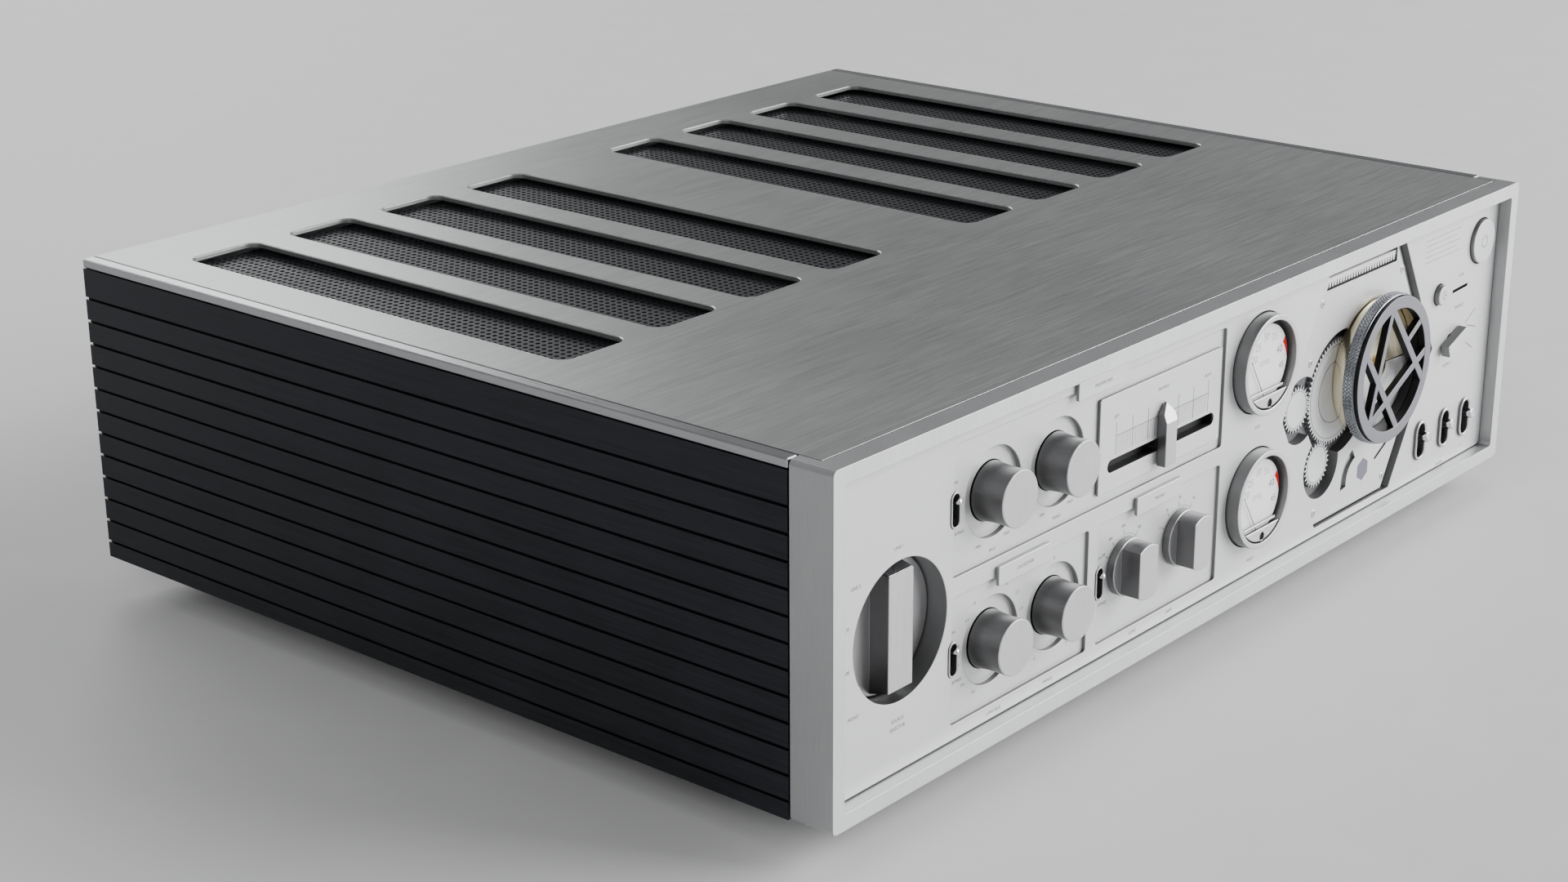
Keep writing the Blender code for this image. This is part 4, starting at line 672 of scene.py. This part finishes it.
# ---------------------------------------------------------------- meters
def make_meters():
    """Cup, card with its scale, pivot cover with an eye, and the needle on its pivot."""
    for name, centre in METERS.items():
        x, z = centre
        pivot = (x, z - 14)
        profile = [(0, 3.9), (15.9, 3.9), (16.1, 3.7), (16.1, 0.35), (16.2, 0.1), (16.45, 0), (17.8, 0),
                   (18.1, 0.1), (18.2, 0.35), (18.2, 14), (0, 14)]
        put(name + "_cup", lathe(centre, profile, steps=128), "rim",
            stands_for=name + "_housing")
        # Painted shade: a black disc behind the card, so the gap round it looks dark.
        put(name + "_gap_shade", lathe(centre, [(0, 3.62), (16.05, 3.62), (16.05, 3.88), (0, 3.88)], steps=96),
            "black")
        lean = acos(12 / 14.3)
        put(name + "_card", slab([arc(centre, 14.3, 1.5 * pi + lean, 3.5 * pi - lean, 72)], (2.8, 3.6),
                                 0.08), "dial", stands_for=name + "_dial")
        lean = acos(10.8 / 15.5)
        chord = arc(centre, 15.5, 1.5 * pi - lean, 1.5 * pi + lean, 30)
        eye = circle(pivot, 1.6, 32)
        put(name + "_cover", slab([chord, eye], (0.4, 1.2), 0.15), "rim")
        # Painted shade: a black disc filling the pivot cover's eye.
        put(name + "_eye", slab([circle(pivot, 1.62, 32)], (1.05, 1.3)), "black")
        put(name + "_bridge", slab([box(x - 11.2, x + 10.6, z - 10.2, z - 9.2, 0.3)], (1.5, 2.2), 0.12),
            "rim")
        ticks = []
        for i in range(26):
            angle = radians(128 - 3.0 * i)
            start = 24.2 if i % 5 else 23.2
            ticks.append(bar(polar(pivot, start, angle), polar(pivot, 27.6, angle), 0.1))
        ticks = [[(min(max(u, x - 14.2), x + 14.2), v) for u, v in t] for t in ticks
                 if all(hypot(u - x, v - z) < 14.1 for u, v in t)]
        ticks.append(ribbon(pivot, 24.2, 62, 125, 0.09, 60))
        ticks = [t for t in ticks if all(hypot(u - x, v - z) < 14.25 for u, v in t)]
        put(name + "_ticks", separate(ticks, 2.8), "pale_ink")
        zone = arc(centre, 14.15, radians(-3), radians(31), 16)
        zone += [polar(centre, 14.05 - 1.9 * i / 8, radians(-3 + 30 * i / 8)) for i in range(8, -1, -1)]
        put(name + "_red", separate([zone], 2.79), "red")
        spots = ((-8.3, 3.2, "20"), (-5.9, 7.1, "25"), (-0.7, 9.9, "30"), (4.8, 8.9, "35"))
        put(name + "_numbers", words([(text, x + u, z + v, 3.9) for u, v, text in spots]
                                     + [("LEVEL", x - 0.8, z + 0.6, 2.6)], 2.8), "pale_ink")
        put(name + "_high_numbers", words([("40", x + 8.8, z + 3.2, 3.9), ("45", x + 10.6, z - 3.0, 3.4)],
                                          2.8), "mid_ink")
        blade = turn([(x - 0.16, z - 14), (x + 0.16, z - 14), (x + 0.07, z + 6.4), (x - 0.07, z + 6.4)],
                     pivot, 33)
        hub = lathe(pivot, [(0, 1.5), (1, 1.5), (1.2, 1.7), (1.2, 2.5), (0.6, 2.5), (0.6, 9), (0, 9)],
                    steps=32)
        put(name + "_pointer", joined(slab([blade], (1.95, 2.15)), hub), "needle", name + "_needle",
            name + "_needle")


# ---------------------------------------------------------------- geared volume control
def cut(name, base, cutters):
    """The base with each cutter taken out of it, as a mesh."""
    target = show(name, base)
    tools = []
    for number, cutter in enumerate(cutters):
        tool = show(f"{name}_{number}", cutter)
        change = target.modifiers.new(tool.name, "BOOLEAN")
        change.operation = "DIFFERENCE"
        change.solver = "EXACT"
        change.use_self = True
        change.object = tool
        tools.append(tool)
    mesh = evaluated(target)
    for thing in [target] + tools:
        bpy.data.objects.remove(thing)
    return mesh


def make_gear_plate():
    """The hexagonal plate with pockets for the gears, the comb and two small slots."""
    body = circle(HEXAGON, 56.6, 6)
    inset = 3 / cos(radians(30))
    boss = [(x - inset, z) if x > HEXAGON[0] else (x, z) for x, z in body]
    plate = joined(slab([circle(HEXAGON, 58.8, 6)], (9.3, 12.2)), slab([body], (8, 9.5), 0.1),
                   slab([boss], (6.45, 9.2), 0.35, rounds=2))
    cutters = [lathe(VOLUME, [(0, 4), (26.6, 4), (26.6, 8.4), (0, 8.4)], steps=160),
               lathe(MAIN, [(0, 3.9), (24.4, 3.9), (24.4, 10.6), (0, 10.6)], steps=160)]
    for centre in (LEFT, LOWER):
        cutters.append(lathe(centre, [(0, 3.8), (12.75, 3.8), (12.75, 10.65), (0, 10.65)], steps=96))
        cutters.append(lathe(centre, [(0, 9), (1.8, 9), (1.8, 13), (0, 13)], steps=24))
    cutters.append(lathe(VOLUME, [(0, 3.7), (4.8, 3.7), (4.8, 10.7), (0, 10.7)], steps=40))
    cutters.append(lathe(MAIN, [(0, 9.1), (2.3, 9.1), (2.3, 13), (0, 13)], steps=24))
    cutters.append(slab([box(75.7, 128.4, 100.3, 112)], (4.2, 8.8)))
    curved = arc((109.3, 19.4), 9.1, radians(110), radians(190), 16)
    curved += arc((109.3, 19.4), 13.4, radians(190), radians(114), 16)
    straight = turn(box(121, 132, 24.85, 26.15, 0.6), (126.5, 25.5), 28)
    cutters += [slab([curved], (4.4, 7.95)), slab([straight], (4.6, 7.95))]
    put("gear_plate_face", cut("plate", plate, cutters), "gear_plate",
        stands_for="gear_plate")
    screws = []
    for x, z in ((73.3, 96), (133.3, 96), (66.8, 75), (76.5, 14), (128.6, 14.1)):
        screws.append(lathe((x, z), [(0.45, 6.25), (1.35, 6.25), (1.55, 6.4), (1.55, 6.6), (0.45, 6.6)],
                            steps=32))
        # Painted shade: a dark hexagon in each screw head stands for its socket.
        put(f"screw_socket_shade_{x:.0f}_{z:.0f}", slab([circle((x, z), 0.62, 6)], (6.3, 6.55)), "line")
    put("plate_screws", joined(*screws), "knob")
    floors = [lathe(MAIN, [(2.4, 10.35), (24.3, 10.35), (24.3, 10.58), (2.4, 10.58)], steps=96)]
    floors += [lathe(c, [(1.9, 10.4), (12.7, 10.4), (12.7, 10.62), (1.9, 10.62)], steps=64)
               for c in (LEFT, LOWER)]
    put("gear_shadow_floors", joined(*floors), "line")
    hexagon = turn(circle((112.6, 21.4), 4.6, 6), (112.6, 21.4), 90)
    put("hexagon_inlay", slab([hexagon], (6.38, 7), 0.06), "hexagon")


def make_gear_detail():
    """Fine turned lines on the faces of the gears."""
    for body, centre, radii in (("main_gear", MAIN, (18.3, 18.0, 12.1, 11.9)),
                                ("left_gear", LEFT, (7.1, 6.9)), ("lower_gear", LOWER, (7.1, 6.9))):
        rings = [lathe(centre, [(r - 0.07, 8.27), (r + 0.07, 8.27), (r + 0.07, 8.31), (r - 0.07, 8.31)],
                       steps=96) for r in radii]
        put(body + "_lines", joined(*rings), "line", body)


def knurled_band():
    """A grip of small diamonds between two plain edges."""
    rows = 18
    steps = 5
    fine = 120 * steps
    back = 28.2
    valley = 28.62
    relief = 0.4
    start, end = -1.95, 1.8
    shape = bmesh.new()
    rings = []
    for j in range(rows + 1):
        y = start + (end - start) * j / rows
        ring = []
        for i in range(fine):
            u = i / steps
            v = j / rows * 2.6
            one = abs((u + v) % 1 - 0.5) * 2
            two = abs((u - v) % 1 - 0.5) * 2
            r = valley + (0 if j in (0, rows) else relief * min(one, two))
            angle = 2 * pi * i / fine
            ring.append(shape.verts.new(at(VOLUME[0] + r * cos(angle), y, VOLUME[1] + r * sin(angle))))
        rings.append(ring)
    inner = [[shape.verts.new(at(x, y, z)) for x, z in circle(VOLUME, back, fine)] for y in (end, start)]
    loops = rings + inner + [rings[0]]
    for one, two in zip(loops, loops[1:]):
        for i in range(fine):
            j = (i + 1) % fine
            shape.faces.new((one[i], one[j], two[j], two[i]))
    return from_shape(shape)


def make_volume():
    """Knurled grip, open lattice in front of it, brass collar and the floor seen through them."""
    barrel = lathe(VOLUME, [(26.5, -2.25), (26.65, -2.4), (28.3, -2.4), (28.65, -2.25), (28.7, -1.9),
                            (28.4, -1.85), (28.4, 1.7), (28.7, 1.75), (28.65, 2.05), (28.3, 2.2),
                            (26.5, 2.2)], steps=160)
    put("volume_barrel_turned", barrel, "grip", "volume_control", "volume_barrel")
    put("volume_knurl", knurled_band(), "grip", "volume_control", smooth=24)
    ring = slab([circle(VOLUME, 28.2, 144), circle(VOLUME, 23.6, 144)], (FRONT, -3.1), 0.2, rounds=2)
    wall = lathe(VOLUME, [(23.6, -3.3), (25.6, -3.3), (25.6, -1), (23.6, -1)], steps=144)
    groove = lathe(VOLUME, [(25.65, -3.1), (27.6, -3.1), (27.6, -2.42), (25.65, -2.42)], steps=144)
    put("volume_shadow_groove", groove, "black", "volume_control")
    angles = dict(high=99, right=-21, low_left=226, left=154, low=-78, mid=5, upper=38)
    ends = {key: polar(VOLUME, 24.6, radians(angle)) for key, angle in angles.items()}
    fork = tuple(a + (b - a) * 0.47 for a, b in zip(ends["high"], ends["right"]))
    bars = [(ends["high"], ends["right"], 3.0), (ends["high"], ends["low_left"], 2.5),
            (ends["left"], ends["low"], 2.9), (ends["low_left"], ends["mid"], 2.9),
            (fork, ends["upper"], 2.5)]
    struts = [slab([bar(a, b, w)], (-3.9 + 0.012 * i, -1.1 - 0.012 * i), 0.12)
              for i, (a, b, w) in enumerate(bars)]
    put("volume_lattice_front", joined(ring, wall, *struts), "gunmetal", "volume_control",
        "volume_lattice")
    collar = [(3.3, 4), (24.4, 4), (24.4, -0.2), (24.6, -0.4), (25.4, -0.4), (25.7, -0.2), (25.85, 1.5),
              (25.97, 3), (26, 4.2), (25.95, 5.4), (25.8, 6.4), (25.5, 7.3), (25.2, 7.8), (24.9, 8),
              (24.4, 8), (24.4, 5.6), (3.3, 5.6)]
    put("volume_collar_turned", lathe(VOLUME, collar, steps=160), "collar", "volume_control",
        "volume_collar", 20)
    half = arc(VOLUME, 24.05, radians(176), radians(358), 72)
    put("volume_floor_silver", slab([half], (3.3, 3.95), 0.12), "panel", "volume_control")
    half = arc(VOLUME, 24.05, radians(-1), radians(175), 72)
    put("volume_floor_gold", slab([half], (3.4, 3.95), 0.12), "satin_gold", "volume_control")
    # Painted shade: a thin black sleeve over the upper part of the collar's inner wall, for the shade
    # inside the hollow knob.
    shade_sleeve = arc(VOLUME, 24.35, radians(175), radians(385), 90)
    shade_sleeve += arc(VOLUME, 24.1, radians(385), radians(175), 90)
    put("volume_liner_shade", slab([shade_sleeve], (-0.35, 3.2)), "black", "volume_control")
    lines = [ribbon(VOLUME, r, 5, 170, 0.12, 60) for r in (9, 13, 16, 19, 22)]
    put("volume_floor_lines", separate(lines, 3.4), "brass_line", "volume_control")
    spindle = [(0, 2.35), (1.1, 2.35), (1.1, 2.38), (1.5, 2.38), (1.5, 2.35), (4.8, 2.35), (5.03, 2.5),
               (5.05, 2.75), (5.05, 3.85), (0, 3.85)]
    put("volume_spindle_cap", lathe(VOLUME, spindle, steps=64), "gold", "volume_control")


# ---------------------------------------------------------------- prints on the front
def make_prints():
    """Generic words, scales and rules, printed on the face and on the sections' floor."""
    small = [("LINE 1", -178, 79.5), ("LINE 2", -198.5, 73), ("AUX", -203.2, 61), ("TAPE", -203.2, 47),
             ("MONO", -199.5, 31.5), ("SOURCE", -178, 23.2), ("SELECTOR", -178, 20.6)]
    small += [("LEVEL", 181, 83.5), ("BALANCE", 181, 70.7), ("OUTPUT", 174, 48.2), ("LEFT", 29, 61.2),
              ("RIGHT", 29, 11)]
    small += [(str(i + 1), c[0], 9.6) for i, c in enumerate(BATS.values())]
    small += [("SPEAKERS", 174.5, 6.9, 1.4), ("LOW PASS", -128, 8.1), ("RANGE", -98, 8.2),
              ("LOAD", -48, 8.5), ("GAIN", -25, 8.6)]
    put("print_face", words(small, FACE), "ink")
    low = [("ON", -148.9, 91.2), ("BYPASS", -146.4, 74.2), ("ON", -148.9, 41.7), ("BYPASS", -146.4, 24.6),
           ("ON", -68, 41.2), ("BYPASS", -65.4, 24.2)]
    low += [("MIN", -136.5, 66.5), ("BASS", -129, 63.4), ("MAX", -121.5, 66.5), ("MIN", -102.2, 66.8),
            ("TREBLE", -94.2, 63.8), ("MAX", -86.5, 66.8)]
    low += [("0.5", -137.5, 17.7), ("0.6", -143.3, 22.2), ("0.7", -146.3, 29.5), ("0.8", -146.3, 36),
            ("1.2", -120.8, 49.2), ("1.3", -114.9, 44.4), ("1.4", -112.6, 38), ("0.9", -141.5, 43.4),
            ("1.0", -138, 48)]
    low += [("-12", -104.5, 17.5), ("0", -94.5, 49.7), ("12", -86.2, 17.5)]
    low += [("300", -65.6, 41.6), ("400", -61.7, 46.2), ("600", -54, 48.6), ("700", -44.3, 45.3),
            ("0", -31.2, 40.7), ("10", -27.2, 46.2), ("20", -19.1, 48.5), ("30", -10, 45.7)]
    put("print_floor", words(low, FLOOR, 1.5), "ink")
    lines = []
    for centre in BAR_KNOBS.values():
        lines.append(ribbon(centre, 11.0, 48, 153, 0.13, 40))
        for angle in (150, 125, 92, 51):
            inner, outer = polar(centre, 11.0, radians(angle)), polar(centre, 12.8, radians(angle))
            lines.append(bar(inner, outer, 0.2))
    put("print_scales", separate(lines, FLOOR), "ink")
    marks = [bar((187.5, 62), (195.5, 66.5), 0.3), bar((189, 61), (197, 58.5), 0.3),
             bar((189, 54), (195.5, 50), 0.3)]
    for i in range(5):
        marks.append(box(149, 178 - 3.5 * (i % 2), 103.4 - 2.2 * i, 103.55 - 2.2 * i))
    put("print_marks", separate(marks, FACE), "ink")


# ---------------------------------------------------------------- back, underside and feet
def make_rear():
    """Input sockets, speaker posts and the screws on the back."""
    jack_x = (-164, -144, -124, -104, -84)
    jack_z = (46, 66)
    outlines = (box(-176, -72, 36, 76, 2), box(8, 126, 32, 80, 2))
    plates = [slab([outline], (BACK, BACK + 1.2), 0.3) for outline in outlines]
    put("terminal_plates", joined(*plates), "plastic")
    shells = []
    pins = []
    for x in jack_x:
        for z in jack_z:
            shells.append(lathe((x, z), [(2.4, 357.8), (3.9, 357.8), (4.1, 357.6), (4.1, 350), (6.3, 350),
                                         (6.3, 348.6), (2.4, 348.6)], steps=40))
            pins.append(lathe((x, z), [(0, 352), (2.4, 352), (2.4, 348.7), (0, 348.7)], steps=24))
    put("jack_shells", joined(*shells), "gold", stands_for="input_jacks")
    put("jack_cores", joined(*pins), "plastic")
    red_caps = []
    black_caps = []
    for column in range(4):
        for row in range(2):
            centre = (22 + 30 * column, 44 + 24 * row)
            grip = []
            for i in range(64):
                r = 5.95 if i % 4 < 2 else 5.6
                grip.append(polar(centre, r, 2 * pi * i / 64))
            cap = slab([grip], (350.6, 359.8), 0.15)
            neck = lathe(centre, [(0, 349), (5, 349), (5, 350.8), (0, 350.8)], steps=32)
            (red_caps if row else black_caps).append(joined(cap, neck))
    put("terminal_caps_red", joined(*red_caps), "red_plastic",
        stands_for="speaker_terminals")
    put("terminal_caps_black", joined(*black_caps), "plastic")
    screws = [lathe((x, z), [(0, 348.7), (2.2, 348.7), (2.6, 348.3), (2.6, 347.6), (0, 347.6)], steps=24)
              for x in (-196, -60, -10, 138, 200) for z in (14, 98)]
    put("rear_screws", joined(*screws), "plastic")
    labels = [("INPUT", -124, 81), ("SPEAKERS", 67, 86), ("L", -180.5, 66), ("R", -180.5, 46),
              ("MAINS", 174, 68)]
    labels += [(str(i + 1), x, 56) for i, x in enumerate(jack_x)]
    put("print_back", words(labels, BACK, 4.2, away=True), "rubber")


def make_feet():
    for name, x, y in (("foot_front_left", -170, 52), ("foot_front_right", 170, 52),
                       ("foot_rear_left", -170, 308), ("foot_rear_right", 170, 308)):
        profile = [(0, -0.3), (18.7, -0.3), (19, -0.5), (20.8, -2.3), (21, -2.7), (21, -9.3), (20.8, -9.8),
                   (18.7, -11.85), (18.3, UNDERSIDE), (13, UNDERSIDE), (12.6, -11.6), (5, -11.6),
                   (4.6, -9.5), (0, -9.5)]
        put(name + "_turned", lathe((x, y), profile, "z", 64), "rubber", stands_for=name)


make_cover()
make_mesh()
make_panel()
make_tabs()
make_slider()
make_knobs()
make_switches()
make_meters()
make_gear_plate()
make_gear_detail()
make_volume()
make_prints()
make_rear()
make_feet()


# ---------------------------------------------------------------- stage, lights and camera
def make_stage():
    shape = bmesh.new()
    corners = [shape.verts.new((x, y, 0)) for x, y in ((-40, -40), (40, -40), (40, 40), (-40, 40))]
    shape.faces.new(corners)
    floor = show("floor", as_mesh(shape))
    floor.data.materials.append(material("floor_pale", (0.72, 0.72, 0.72), 0.6, 0, (25, 25, 25),
                                         shade=0.02, bump=0.03))
    world = bpy.data.worlds.new("studio")
    world.use_nodes = True
    world.node_tree.nodes["Background"].inputs["Color"].default_value = (0.80, 0.81, 0.83, 1)
    world.node_tree.nodes["Background"].inputs["Strength"].default_value = 0.3
    bpy.context.scene.world = world
    for name, place, target, width, height, power in (
            ("key", (2.1, -2.1, 1.3), (0.1, -0.1, 0.05), 2.8, 1.9, 205),
            ("left", (-1.7, -0.7, 1.2), (0, 0, 0.05), 1.2, 1.2, 10),
            ("back", (0.4, 2.3, 1.2), (0, 0, 0.1), 2.6, 0.9, 34)):
        light = bpy.data.lights.new(name, "AREA")
        light.shape = "RECTANGLE"
        light.size = width
        light.size_y = height
        light.energy = power
        lamp = show(name, light)
        lamp.location = place
        lamp.rotation_mode = "QUATERNION"
        lamp.rotation_quaternion = (Vector(target) - Vector(place)).to_track_quat("-Z", "Y")


def make_camera():
    lens = bpy.data.cameras.new("camera")
    lens.lens = 61.724
    lens.sensor_width = 36
    lens.clip_start = 0.01
    view = show("camera", lens)
    view.location = (-0.7645492, -0.62418737, 0.38813369)
    view.rotation_mode = "QUATERNION"
    view.rotation_quaternion = Quaternion((0.7403816, 0.5234531, -0.2415947, -0.3456357))
    bpy.context.scene.camera = view


make_stage()
make_camera()
